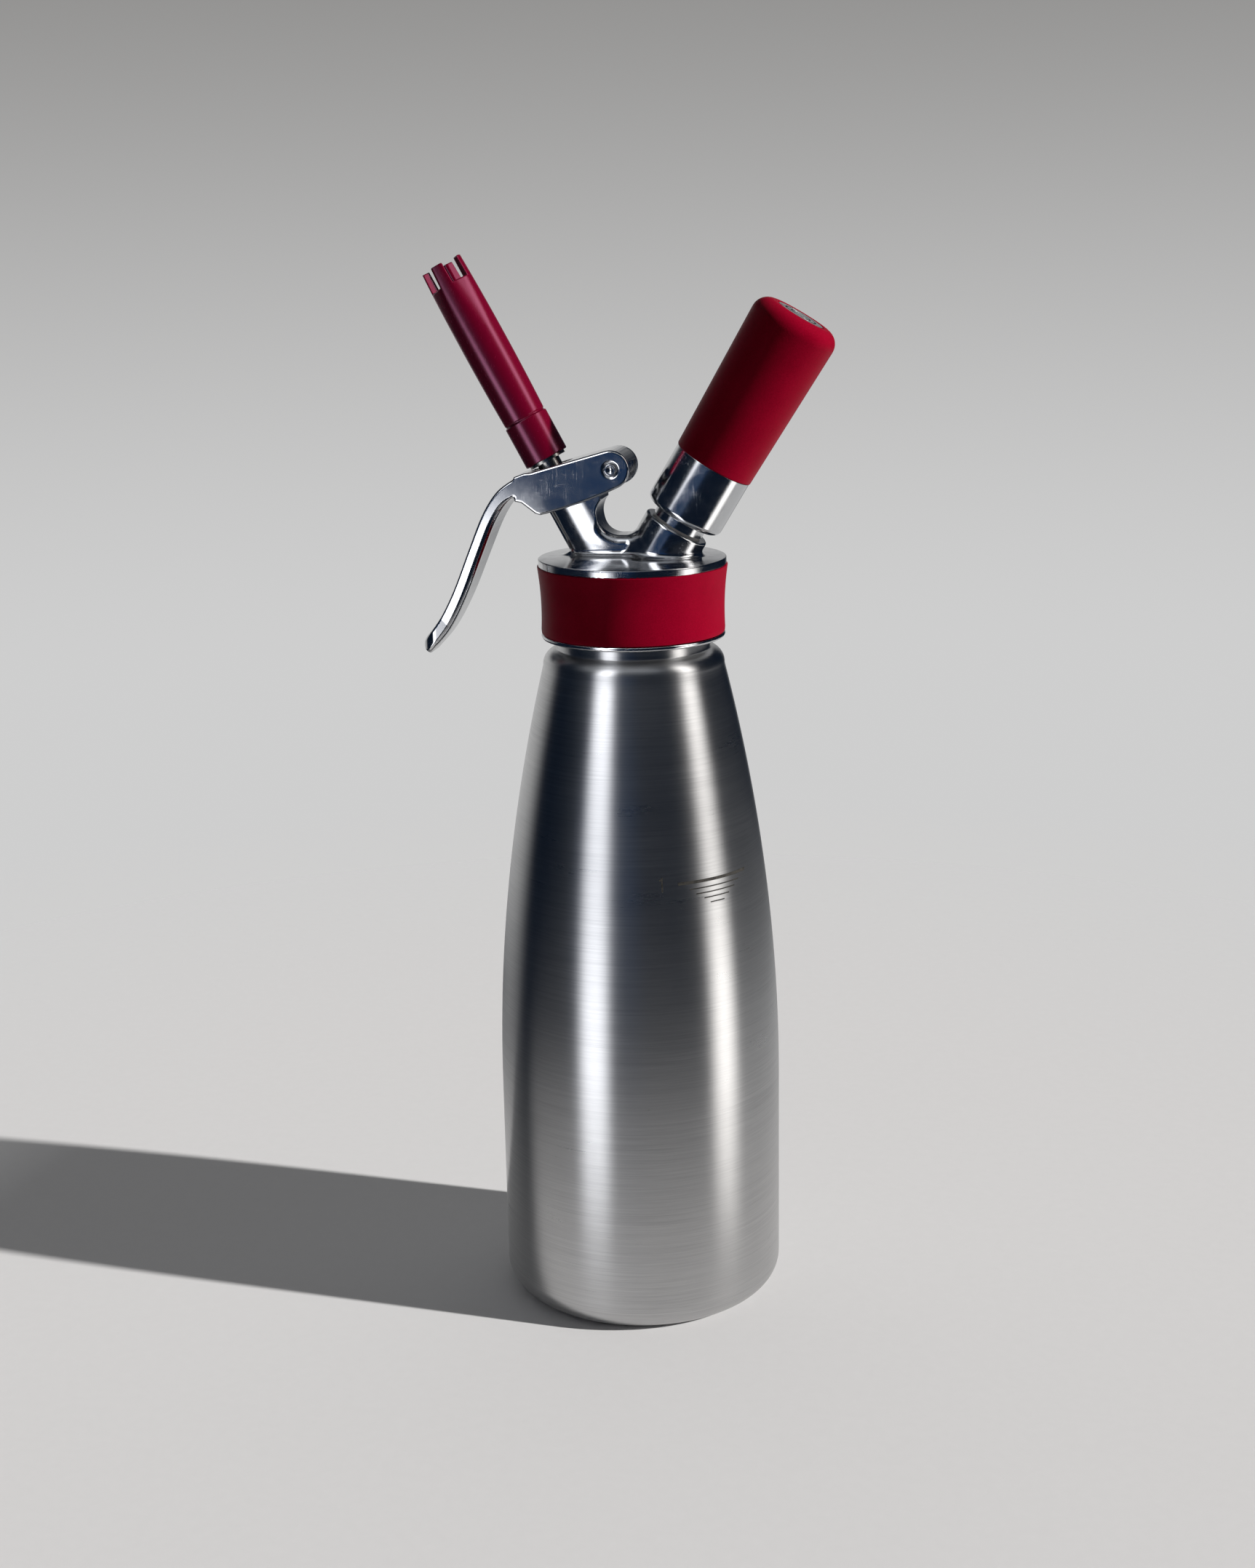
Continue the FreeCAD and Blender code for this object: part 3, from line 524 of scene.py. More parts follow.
class Recipe(Graph):
    """A material under construction."""

    def __init__(self, name):
        self.material = bpy.data.materials.new(name)
        self.material.use_nodes = True
        super().__init__(self.material.node_tree)
        self.shader = self.tree.nodes["Principled BSDF"]
        self.place = self.node("ShaderNodeTexCoord").outputs["Object"]

    def noise(self, scale, detail=3.0, roughness=0.55, turn=(0.0, 0.0, 0.0)):
        """Noise in features a metre, with one number for all axes or one for each after a turn."""
        mapping = self.node("ShaderNodeMapping")
        mapping.inputs["Scale"].default_value = scale if isinstance(scale, tuple) else (1.0, 1.0, 1.0)
        mapping.inputs["Rotation"].default_value = turn
        self.link(self.place, mapping.inputs["Vector"])
        texture = self.node("ShaderNodeTexNoise")
        texture.inputs["Scale"].default_value = 1.0 if isinstance(scale, tuple) else scale
        texture.inputs["Detail"].default_value = detail
        texture.inputs["Roughness"].default_value = roughness
        self.link(mapping.outputs["Vector"], texture.inputs["Vector"])
        return texture.outputs["Fac"]

    def bump(self, height, distance, strength=1.0):
        made = self.node("ShaderNodeBump")
        made.inputs["Distance"].default_value = distance
        made.inputs["Strength"].default_value = strength
        self.link(height, made.inputs["Height"])
        self.link(made.outputs["Normal"], self.shader.inputs["Normal"])

    def feed(self, **values):
        for key, value in values.items():
            self.fill(self.shader.inputs[key.replace("_", " ")], value)
        return self.material


def brushed_steel():
    """Stainless steel brushed round the bottle: fine level lines, cloudy patches and a few smudges."""
    steel = Recipe("brushed_steel")
    steel.feed(Metallic=1.0, Anisotropic=0.85, Anisotropic_Rotation=0.25)
    tangent = steel.node("ShaderNodeTangent", direction_type="RADIAL", axis="Z")
    steel.link(tangent.outputs["Tangent"], steel.shader.inputs["Tangent"])
    lines = steel.noise((28.0, 28.0, 1700.0), 4.0, 0.78)
    patches = steel.noise((26.0, 26.0, 75.0), 4.0, 0.6)
    smudges = steel.noise(16.0, 3.0, 0.5)
    depth = steel.span(patches, 0.35, 0.65, 0.45, 0.9)
    brushed = steel.times(steel.span(lines, 0.28, 0.72, -1.0, 1.0), depth)
    cloudy = steel.span(patches, 0.3, 0.7, 0.272, 0.302)
    rough = steel.math("ADD", cloudy, steel.times(brushed, 0.014))
    rough = steel.math("ADD", rough, steel.span(smudges, 0.55, 0.75, 0.0, 0.03))
    tone = steel.math("MULTIPLY_ADD", brushed, 0.5, 0.5)
    colour = steel.mix(tone, (0.43, 0.43, 0.435), (0.63, 0.63, 0.625))
    steel.bump(brushed, 0.0000012, 0.5)
    return steel.feed(Roughness=rough, Base_Color=colour)


def polished_steel(name, haze_low, haze_high, scratch, turn, wave):
    """Hand polished steel: slow waves, patches of haze and two families of fine scratches."""
    steel = Recipe(name)
    steel.feed(Metallic=1.0)
    waves = steel.noise(110.0, 2.0, 0.4)
    haze = steel.noise(120.0, 5.0, 0.7)
    along = steel.noise((5200.0, 1500.0, 190.0), 2.0, 0.6, (0.0, turn, 0.0))
    across = steel.noise((240.0, 1500.0, 4600.0), 2.0, 0.6, (0.0, turn + 0.35, 0.0))
    lines = steel.math("MAXIMUM", steel.span(along, 0.56, 0.72), steel.span(across, 0.60, 0.74))
    worn = steel.times(lines, steel.span(haze, 0.42, 0.62, 0.15, 1.0))
    hazy = steel.span(haze, 0.36, 0.70, haze_low, haze_high)
    rough = steel.math("ADD", hazy, steel.times(worn, scratch))
    steel.bump(steel.math("MULTIPLY_ADD", worn, -0.04, waves), wave, 0.5)
    colour = steel.mix(haze, (0.55, 0.56, 0.58), (0.66, 0.66, 0.66))
    return steel.feed(Roughness=rough, Base_Color=colour)


def red_silicone():
    """Matte moulded silicone with a fine grain and faint dust."""
    silicone = Recipe("red_silicone")
    silicone.feed(IOR=1.42, Specular_IOR_Level=0.09, Specular_Tint=(1.0, 0.25, 0.35))
    grain = silicone.noise(2600.0, 3.0, 0.7)
    cloud = silicone.noise(60.0, 3.0, 0.6)
    dust = silicone.noise(1500.0, 1.0, 0.5)
    tone = silicone.math("MULTIPLY_ADD", silicone.span(grain, 0.3, 0.7, -0.5, 0.5), 0.7, cloud)
    tone = silicone.math("ADD", tone, silicone.span(dust, 0.74, 0.80, 0.0, 0.8))
    colour = silicone.mix(silicone.span(tone, 0.0, 1.6), (0.17, 0.0006, 0.0095), (0.33, 0.002, 0.022))
    rough = silicone.span(grain, 0.3, 0.7, 0.36, 0.52)
    silicone.bump(grain, 0.00006, 0.6)
    return silicone.feed(Roughness=rough, Base_Color=colour)


def red_plastic():
    """Glossy dark red moulded plastic with small pits and handling marks."""
    plastic = Recipe("red_plastic")
    plastic.feed(IOR=1.9, Specular_Tint=(1.0, 0.38, 0.64))
    marks = plastic.noise((1500.0, 1500.0, 300.0), 3.0, 0.6, (0.0, 0.49, 0.0))
    waves = plastic.noise(160.0, 2.0, 0.5)
    cloud = plastic.noise(80.0, 3.0, 0.6)
    rough = plastic.span(marks, 0.50, 0.80, 0.25, 0.30)
    colour = plastic.mix(cloud, (0.110, 0.0006, 0.012), (0.140, 0.0008, 0.0155))
    plastic.bump(plastic.math("MULTIPLY_ADD", marks, 0.02, waves), 0.00003, 0.4)
    return plastic.feed(Roughness=rough, Base_Color=colour)


def seal_rubber(name, dark, light):
    """Moulded rubber of a seal, with a dusty grain."""
    rubber = Recipe(name)
    rubber.feed(IOR=1.5)
    grain = rubber.noise(1800.0, 3.0, 0.6)
    rubber.bump(grain, 0.00005, 0.6)
    rough = rubber.span(grain, 0.3, 0.7, 0.5, 0.7)
    return rubber.feed(Roughness=rough, Base_Color=rubber.mix(grain, dark, light))


def plain_metal(name, dark, light, low=0.18, high=0.34):
    """Turned or drawn metal of the small inner pieces."""
    metal = Recipe(name)
    metal.feed(Metallic=1.0)
    grain = metal.noise(900.0, 3.0, 0.6)
    haze = metal.noise(160.0, 3.0, 0.6)
    metal.bump(grain, 0.00003, 0.4)
    rough = metal.span(haze, 0.3, 0.7, low, high)
    return metal.feed(Roughness=rough, Base_Color=metal.mix(grain, dark, light))


def printed_mark():
    """Etched grey-brown marking on the bottle."""
    ink = Recipe("printed_mark")
    ink.feed(Metallic=0.3)
    wear = ink.noise(900.0, 3.0, 0.7)
    colour = ink.mix(ink.span(wear, 0.35, 0.7), (0.025, 0.023, 0.020), (0.07, 0.066, 0.06))
    return ink.feed(Roughness=ink.span(wear, 0.3, 0.7, 0.45, 0.65), Base_Color=colour)


STEEL = brushed_steel()
CHROME = polished_steel("polished_steel", 0.09, 0.20, 0.14, 0.4, 0.00004)
LEVER_STEEL = polished_steel("lever_steel", 0.08, 0.14, 0.17, 0.75, 0.00001)
SILICONE = red_silicone()
PLASTIC = red_plastic()
BLACK_RUBBER = seal_rubber("seal_rubber", (0.012, 0.012, 0.012), (0.03, 0.03, 0.03))
WHITE_RUBBER = seal_rubber("white_seal", (0.62, 0.60, 0.56), (0.74, 0.72, 0.68))
# Brass nickel darkened to a grey well below bright nickel: painted shade for the shadow under the tip's
# collar, where the tip adapter sits. The valve stem and nut get the same darkened colour.
SHADED_NICKEL = plain_metal("brass_nickel", (0.26, 0.25, 0.235), (0.36, 0.35, 0.335))
SPRING_STEEL = plain_metal("spring_steel", (0.42, 0.42, 0.43), (0.56, 0.56, 0.57))
DISC_METAL = plain_metal("disc_metal", (0.60, 0.59, 0.58), (0.74, 0.73, 0.72), 0.12, 0.26)
BULB_STEEL = plain_metal("bulb_steel", (0.48, 0.49, 0.50), (0.60, 0.61, 0.62), 0.25, 0.4)
MARK = printed_mark()


# Bottle

def body_radius(z, inset=0.0):
    """Radius of the bottle's wall: straight at first, then drawn in towards the shoulder."""
    share = np.clip((z - STRAIGHT_TOP_Z) / (SHOULDER_Z - STRAIGHT_TOP_Z), 0.0, 1.0)
    return BOTTLE_R - inset - (BOTTLE_R - SHOULDER_R) * share ** 2


def arc_points(a, middle, b, count):
    """Points on the arc through three places, ends included."""
    ax, ay = a
    bx, by = middle
    cx, cy = b
    far_a = ax * ax + ay * ay
    far_b = bx * bx + by * by
    far_c = cx * cx + cy * cy
    d = 2 * (ax * (by - cy) + bx * (cy - ay) + cx * (ay - by))
    ox = (far_a * (by - cy) + far_b * (cy - ay) + far_c * (ay - by)) / d
    oy = (far_a * (cx - bx) + far_b * (ax - cx) + far_c * (bx - ax)) / d
    radius = math.hypot(ax - ox, ay - oy)
    start = math.atan2(ay - oy, ax - ox)
    middle_turn = (math.atan2(by - oy, bx - ox) - start) % (2 * math.pi)
    end_turn = (math.atan2(cy - oy, cx - ox) - start) % (2 * math.pi)
    if middle_turn > end_turn:
        end_turn -= 2 * math.pi
    turns = [start + end_turn * k / count for k in range(count + 1)]
    return [(ox + radius * math.cos(turn), oy + radius * math.sin(turn)) for turn in turns]


def make_bottle():
    """The drawn shell, with a ring pressed in its base and the screw's groove round its neck."""
    foot_r = BOTTLE_R - CORNER_R
    turn_out = ((SHOULDER_R + NECK_R) / 2 + SHOULDER_TURN,
                (SHOULDER_Z + NECK_ROOT_Z) / 2 + SHOULDER_TURN / 2)
    ring_r = foot_r - BASE_RING_INSET
    ring = arc_points((ring_r - BASE_RING_HALF, 0.0), (ring_r, BASE_RING_H),
                      (ring_r + BASE_RING_HALF, 0.0), 10)
    corners = [(0.0, 0.0, None), (ring[0][0] - BASE_RING_EASE, 0.0, None)]
    corners += [(r, z, None) for r, z in ring]
    corners += [(ring[-1][0] + BASE_RING_EASE, 0.0, None)]
    corners += [(foot_r + CORNER_R * math.sin(a), CORNER_R * (1 - math.cos(a)), None)
                for a in np.radians(np.arange(0, 91, 5))]
    corners += [(BOTTLE_R, STRAIGHT_TOP_Z * s, None) for s in (0.25, 0.4, 0.55, 0.7, 0.85)]
    corners += [(body_radius(z), z, None) for z in np.linspace(STRAIGHT_TOP_Z, SHOULDER_Z, 48)]
    shoulder = arc_points((SHOULDER_R, SHOULDER_Z), turn_out, (NECK_R, NECK_ROOT_Z), 12)
    corners += [(r, z, None) for r, z in shoulder[1:]]
    corners += [(NECK_R, z, None) for z in np.arange(NECK_ROOT_Z + 0.4, MOUTH_Z - THREAD_MARGIN, 0.25)]
    corners += [(NECK_R, MOUTH_Z, 0.5), (NECK_BORE_R, MOUTH_Z, 0.5)]
    corners += [(NECK_BORE_R, NECK_ROOT_Z - BOTTLE_WALL, 1.0)]
    corners += [(body_radius(z, BOTTLE_WALL), z, None)
                for z in np.linspace(SHOULDER_Z - 1.0, STRAIGHT_TOP_Z, 24)]
    corners += [(BOTTLE_R - BOTTLE_WALL, CORNER_R, 4.0), (foot_r + 3.0, BOTTLE_WALL + 0.6, 4.0),
                (0.0, BOTTLE_WALL, None)]
    thread_foot = MOUTH_Z - NECK_GROOVE_R - NECK_TURNS * NECK_PITCH - 1.0
    centre_r = NECK_R + NECK_GROOVE_R - NECK_GROOVE_DEPTH

    def thread(radius, height, angle):
        if radius < NECK_R - 0.01 or height < NECK_ROOT_Z + 0.3 or height > MOUTH_Z - THREAD_MARGIN:
            return radius
        turns = (height - thread_foot) / NECK_PITCH - angle / (2 * math.pi)
        nearest = min(max(round(turns), 0), int(NECK_TURNS))
        offset = (turns - nearest) * NECK_PITCH
        if abs(offset) >= NECK_GROOVE_R:
            return radius
        return min(radius, centre_r - math.sqrt(NECK_GROOVE_R ** 2 - offset ** 2))

    built = turned(corners, UPRIGHT, 256, thread)
    piece("bottle_shell", built, STEEL, "bottle", "brushed_steel", "bottle")


def surface_patch(places, z_low, z_high, lift=0.03, thickness=0.02):
    """A thin closed patch on the bottle between two heights, over azimuths given in degrees."""
    vertices = []
    for layer in (lift, lift - thickness):
        for z in (z_low, z_high):
            radius = float(body_radius(z)) + layer
            vertices += [(radius * math.cos(a), radius * math.sin(a), z) for a in map(math.radians, places)]
    n = len(places)
    faces = [[a * n + k, a * n + k + 1, b * n + k + 1, b * n + k]
             for k in range(n - 1) for a, b in ((0, 1), (1, 3), (3, 2), (2, 0))]
    return vertices, faces + [[0, n, 3 * n, 2 * n], [n - 1, 3 * n - 1, 4 * n - 1, 2 * n - 1]]


# The fill mark: its azimuths are in degrees, and a line is (drop, share of the first line, height)
MARK_Z = 154.5
MARK_AZIMUTH = -43.0
MARK_HALF = 19.0
FIGURE_AZIMUTH = MARK_AZIMUTH - MARK_HALF - 7.0
FIGURE_HALF = 0.35
FIGURE_NOSE = 0.95
MARK_LINES = [(0.0, 1.0, 1.0), (-2.2, 0.72, 0.4), (-3.9, 0.56, 0.4), (-5.6, 0.36, 0.4), (-7.3, 0.20, 0.4)]


def make_fill_marks():
    """Plain level lines and a plain number, with nothing lettered."""
    vertices = []
    faces = []
    patches = []
    for drop, share, height in MARK_LINES:
        half = MARK_HALF * share
        middle = MARK_Z + drop
        places = np.linspace(MARK_AZIMUTH - half, MARK_AZIMUTH + half, 24)
        patches.append((places, middle - height / 2, middle + height / 2))
    stem = (FIGURE_AZIMUTH - FIGURE_HALF, FIGURE_AZIMUTH + FIGURE_HALF)
    patches.append((np.linspace(*stem, 3), MARK_Z - 2.2, MARK_Z + 2.6))
    patches.append((np.linspace(stem[0] - FIGURE_NOSE, stem[0], 3), MARK_Z + 1.4, MARK_Z + 2.0))
    for places, low, high in patches:
        new_vertices, new_faces = surface_patch(places, low, high)
        faces += [[v + len(vertices) for v in face] for face in new_faces]
        vertices += new_vertices
    made = piece("fill_marks", (vertices, faces, None), MARK, "bottle", "brushed_steel")
    made.data.shade_flat()


# Head

def head_field(x, y, z):
    """The cast head: deck and skirt, port column, arm and bridge, charger boss, and their bores."""
    radius = np.hypot(x, y)
    inside = -5.0
    shell = polygon(radius, z, [
        (inside, DECK_Z + 5.0), (RIM_R, DECK_Z + 5.0), (RIM_R, BAND_TOP_Z), (SKIRT_OUT_R, BAND_TOP_Z),
        (SKIRT_OUT_R, BAND_FOOT_Z), (LIP_R - 0.8, BAND_FOOT_Z), (LIP_R - 0.2, BAND_FOOT_Z - 0.3),
        (LIP_R, BAND_FOOT_Z - 0.9), (LIP_R - 0.25, BAND_FOOT_Z - 1.5), (LIP_R - 0.9, SKIRT_FOOT_Z),
        (SKIRT_IN_R, SKIRT_FOOT_Z), (SKIRT_IN_R, DECK_FLOOR_Z), (inside, DECK_FLOOR_Z)])
    shell = common(shell, z - DECK_Z - DECK_CROWN * (1.0 - (radius / RIM_R) ** 2), 0.25)
    across, along = leaning(PORT_SEAT, x, z)
    boss_across, boss_along = leaning(BOSS_SEAT, x, z)
    pivot = seat_in(PORT_SEAT, PIVOT)
    arm_top = pivot[2] + ARM_END_R
    root = DECK_FLOOR_Z + ROOT_SINK
    floor = HOOK[1] - HOOK_R
    under_arm = port_place(pivot[0], pivot[2] - ARM_END_R)
    plate_outline = [
        port_place(-PORT_OFFSET, -ROOT_SINK), (HOLDER_FOOT[0] / 2, root), (HOLDER_FOOT[0] / 2, floor),
        under_arm, port_place(pivot[0], arm_top), port_place(ARM_STEP, arm_top),
        port_place(ARM_STEP, PORT_TOP), port_place(-PORT_OFFSET, PORT_TOP)]
    plate = common(polygon(x, z, plate_outline), np.abs(y) - PORT_R, 0.8)
    plate = join(plate, common(far_from(PIVOT, x, z) - ARM_END_R, np.abs(y) - PORT_R, 0.5))
    crown_l = COLUMN_CROWN + PORT_OFFSET + PORT_R
    crowned = np.hypot(np.minimum(across - COLUMN_CROWN, 0.0) * PORT_R / crown_l, y) - PORT_R
    column_ends = np.maximum(-ROOT_SINK - along, along - PORT_TOP)
    column = common(crowned, np.maximum(column_ends, across - ARM_STEP), 0.5)
    plate = np.maximum(join(plate, column), crowned)
    under_root = port_place(ARM_STEP + 5.0, pivot[2] - ARM_END_R)
    mouth = polygon(x, z, [(HOOK[0], floor), (HOLDER_FOOT[0], floor), (HOLDER_FOOT[0], under_arm[1]),
                           under_arm, under_root, (HOOK_TOP[0] - HOOK_TOP_R * HOOK_TOP_SHARE, HOOK_TOP[1])])
    mouth = join(mouth, far_from(HOOK, x, z) - HOOK_R)
    mouth = join(mouth, far_from(HOOK_TOP, x, z) - HOOK_TOP_R)
    mouth = np.maximum(mouth, ARM_END_R - far_from(PIVOT, x, z))
    low_down = np.clip((BRIDGE_SOFT_TOP - z) / BRIDGE_SOFT_H, 0.0, 1.0)
    softening = (BRIDGE_EDGE - PLATE_EDGE) * low_down * low_down * (3 - 2 * low_down)
    plate = cut(plate, mouth, PLATE_EDGE + softening)
    boss = common(rod(boss_across, y, boss_along, BOSS_R, BOSS_ROOT, BOSS_TOP, 0.7), root - z)
    upper = join(plate, boss, 2.0)
    whole = join(shell, upper, DECK_FILLET)
    whole = np.where(z < root, shell, whole)
    seat = common(rod(across, y, along, PORT_SEAT_R, -PORT_SEAT_DROP, 2.0, 0.3), z - root)
    nipple_ends = np.maximum(DECK_FLOOR_Z - CHECK_DROP - z, z - root)
    nipple = common(np.hypot(x - CHECK_X, y) - CHECK_R, nipple_ends, 0.2)
    whole = np.minimum(np.minimum(whole, seat), nipple)
    whole = cut(whole, rod(across, y, along, GUIDE_R, BORE_FOOT, BORE_TOP))
    whole = cut(whole, rod(across, y, along, SPRING_BORE_R, BORE_FOOT, 0.0))
    whole = cut(whole, rod(across, y, along, SPRING_BORE_R, SPRING_SEAT, BORE_TOP), 0.25)
    return cut(whole, rod(boss_across, y, boss_along, SPIGOT_R, SPIGOT_END, 10.0), 0.2)


def make_head():
    built = field_mesh(head_field, *np.array(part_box("head")) / MM, CAST_STEP)
    piece("cast_head", built, CHROME, "head", "polished_steel", "head")


def make_grip_band():
    corners = [(SKIRT_OUT_R, BAND_FOOT_Z, 0.1), (BAND_FOOT_R - 0.15, BAND_FOOT_Z, 0.25)]
    middle = (BAND_TOP_Z + BAND_FOOT_Z) / 2
    sides = arc_points((BAND_FOOT_R, BAND_FOOT_Z + EASED), (BAND_WAIST_R, middle - BAND_WAIST_DROP),
                       (BAND_TOP_R, BAND_TOP_Z - 0.2), 24)
    corners += [(r, z, None) for r, z in sides[1:-1]]
    corners += [(BAND_TOP_R, BAND_TOP_Z, 0.2), (SKIRT_OUT_R, BAND_TOP_Z, 0.1)]
    piece("silicone_band", turned(corners, UPRIGHT, 256), SILICONE, "head", "red_silicone", "grip_band")


# Lever

def handle_points():
    """The handle's centre line as a dense smooth curve, from the channel to the tip."""
    places = np.array(HANDLE_LINE)
    padded = np.vstack([2 * places[0] - places[1], places, 2 * places[-1] - places[-2]])
    dense = []
    for k in range(len(places) - 1):
        p0, p1, p2, p3 = padded[k:k + 4]
        for t in np.arange(0.0, 1.0, 0.2):
            dense.append(0.5 * (2 * p1 + (p2 - p0) * t + (2 * p0 - 5 * p1 + 4 * p2 - p3) * t ** 2
                                + (3 * p1 - p0 - 3 * p2 + p3) * t ** 3))
    dense.append(places[-1])
    return np.array(dense)


HANDLE_CURVE = handle_points()
HANDLE_RISING = HANDLE_CURVE[::-1]


def grip_line(x):
    """Height of the handle's centre line above a place on X."""
    return np.interp(x, HANDLE_RISING[:, 0], HANDLE_RISING[:, 1])


def handle_outline(x, z):
    """Distance to the bar about the handle's centre line, in the XZ plane."""
    nearest = np.full(np.broadcast(x, z).shape, 1e9)
    for a, b in zip(HANDLE_CURVE[:-1], HANDLE_CURVE[1:]):
        way = b - a
        share = np.clip(((x - a[0]) * way[0] + (z - a[1]) * way[1]) / float(way @ way), 0.0, 1.0)
        nearest = np.minimum(nearest, np.hypot(x - a[0] - way[0] * share, z - a[1] - way[1] * share))
    return nearest - HANDLE_T / 2


def lever_sides(x, y, z):
    """Distance to the lever's sides: full width at the channel, slimming down the handle to a round end."""
    away = far_from(PIVOT, x, z)
    share = np.clip((away - HANDLE_FULL) / (HANDLE_SLIM - HANDLE_FULL), 0.0, 1.0)
    half_w = LEVER_HALF_W + (HANDLE_HALF_W - LEVER_HALF_W) * share ** 1.5
    tip_x = HANDLE_TIP_X + HANDLE_TIP_RUN
    past = np.maximum(tip_x - x, 0.0) / HANDLE_TIP_RUN
    rounded_end = (np.hypot(y / HANDLE_HALF_W, past) - 1.0) * HANDLE_TIP_RUN
    return np.where(x < tip_x, rounded_end, np.abs(y) - half_w)


def lever_field(x, y, z):
    """The lever: its side view between its sides, less channel, stem slot and the rivet's seats."""
    way = np.array([-math.cos(LEVER_SLOPE), -math.sin(LEVER_SLOPE)])
    up = np.array([-math.sin(LEVER_SLOPE), math.cos(LEVER_SLOPE)])
    pivot = PIVOT[[0, 2]]
    end_top = pivot + up * LEVER_END_R
    arm_far = end_top + way * LEVER_ARM_L
    low_slope = math.atan2(PIVOT[2] - LEVER_END_R - CHEEK_MID[1], PIVOT[0] - CHEEK_MID[0])
    end_low = (PIVOT[0] + LEVER_END_R * math.sin(low_slope), PIVOT[2] - LEVER_END_R * math.cos(low_slope))
    nose = arc_points(end_low, (PIVOT[0] + LEVER_END_R, PIVOT[2]), tuple(end_top), 16)
    belly = arc_points(CHEEK_LOW, CHEEK_MID, end_low, 12)
    corners = [tuple(end_top), tuple(arm_far), CHEEK_HEEL, CHEEK_BACK, CHEEK_TOE] + belly[:-1] + nose[:-1]
    outline = join(polygon(x, z, corners), handle_outline(x, z), 1.0)
    past_start = np.clip((GRIP_START_X - x) / GRIP_RUN, 0.0, 1.0)
    grip = past_start * np.clip((grip_line(x) - z) / GRIP_DEPTH, 0.0, 1.0)
    edge = LEVER_EDGE + (GRIP_EDGE - LEVER_EDGE) * grip
    block = common(outline, lever_sides(x, y, z), edge)
    across_arm = (x - pivot[0]) * up[0] + (z - pivot[1]) * up[1]
    along_arm = (x - pivot[0]) * way[0] + (z - pivot[1]) * way[1]
    under = LEVER_END_R - LEVER_SHEET
    inner_w = LEVER_HALF_W - LEVER_SHEET
    hollow = common(np.maximum(across_arm - under, along_arm - (LEVER_ARM_L - CHANNEL_END_L)),
                    np.abs(y) - inner_w, 0.6)
    from_pin = far_from(PIVOT, x, z)
    turn = np.arctan2(z - PIVOT[2], x - PIVOT[0])
    wrap = np.abs(from_pin - (LEVER_END_R + under) / 2) - LEVER_SHEET / 2
    wrap = np.maximum(wrap, (LEVER_WRAP_TO - turn) * from_pin)
    wrap = np.maximum(wrap, (turn - math.pi / 2 - LEVER_SLOPE) * from_pin)
    lever = cut(block, np.maximum(hollow, -wrap), 0.3)
    port_across, port_along = leaning(PORT_SEAT, x, z)
    slot_ends = np.maximum(SLOT_BACK - port_across, port_across - SLOT_FRONT)
    slot = common(slot_ends, np.abs(y) - SLOT_HALF_W, 1.0)
    lever = cut(lever, np.maximum(slot, SLOT_FOOT - port_along), 0.3)
    sunk = np.clip(np.abs(y) - (LEVER_HALF_W - SINK_DEPTH), 0.0, 2.0)
    sink = from_pin - (PIN_R + SHARP) - sunk * SINK_FLARE
    return cut(lever, sink * SINK_SCALE, 0.12)


def make_lever():
    built = field_mesh(lever_field, *np.array(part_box("lever")) / MM, LEVER_STEP)
    piece("lever_arm", built, LEVER_STEEL, "lever", "polished_steel", "lever")


def make_pivot_pin():
    """A headed rivet through both cheeks, with a dimple in each end."""
    end = LEVER_HALF_W + SHARP
    corners = [(0.0, end - 0.45, None), (0.5, end - 0.4, None), (0.95, end - 0.12, None),
               (1.2, end, SHARP), (PIN_R, end, 0.35)]
    corners += [(radius, -height, fillet) for radius, height, fillet in corners[::-1]]
    piece("pivot_rivet", turned(corners, PIN_SEAT, 96), CHROME, "head", "polished_steel", "pivot_pin")


# Tip

def tip_foot():
    """Where the tip starts along the port axis, from the frame's own tip."""
    vertices = frame["nodes"]["decorator_tip"].data.vertices
    heights = [seat_in(PORT_SEAT, np.array(v.co) / MM)[2] for v in vertices]
    return min(heights)


TIP_FOOT = tip_foot()


def tip_field(across, y, along):
    """The tip in the port's own frame: collar, swelling body with four flats, bore and slots."""
    radius = np.hypot(across, y)
    groove_foot = TIP_FOOT + TIP_COLLAR_L
    groove_top = groove_foot + TIP_GROOVE_L
    top = TIP_FOOT + TIP_L
    middle = (groove_top + top) / 2
    side = arc_points((TIP_GROOVE_R + 0.15, groove_top), (TIP_BELLY_R, middle - TIP_BELLY_DROP),
                      (TIP_TOP_R, top), 14)
    inside = -5.0
    outer = polygon(radius, along, [
        (inside, TIP_FOOT), (TIP_COLLAR_R - 0.3, TIP_FOOT), (TIP_COLLAR_R, TIP_FOOT + 0.3),
        (TIP_COLLAR_R, groove_foot - 0.2), (TIP_COLLAR_R - 0.2, groove_foot),
        (TIP_GROOVE_R - 0.1, groove_foot + 0.2), (TIP_GROOVE_R - 0.1, groove_top - 0.2),
        *side, (inside, top)])
    share = np.clip((along - middle - TIP_FLAT_RISE) / (top - middle - TIP_FLAT_RISE), 0.0, 1.0)
    flat = TIP_BELLY_R + 0.35 + (TIP_TOP_FLAT - TIP_BELLY_R - 0.35) * share
    turned_u = (across + y) * math.sqrt(0.5)
    turned_v = (across - y) * math.sqrt(0.5)
    square = common(np.abs(turned_u) - flat, np.abs(turned_v) - flat, 0.8)
    solid = common(outer, np.where(share > 0.0, square, square - 0.3), 0.5)
    bore = polygon(radius, along, [
        (inside, TIP_FOOT - 2.0), (TIP_SOCKET_R, TIP_FOOT - 2.0), (TIP_SOCKET_R, TIP_FOOT + TIP_SOCKET_L),
        (TIP_BORE_R, TIP_FOOT + TIP_SOCKET_L), (TIP_BORE_R, groove_top + 4.0),
        (TIP_BORE_R + 0.3, top + 2.0), (inside, top + 2.0)])
    solid = cut(solid, bore, 0.25)
    for way in (turned_u, turned_v):
        slot = np.maximum(np.abs(way) - TIP_SLOT_W / 2, top - TIP_SLOT_L - along)
        solid = cut(solid, slot, 0.45)
    return solid


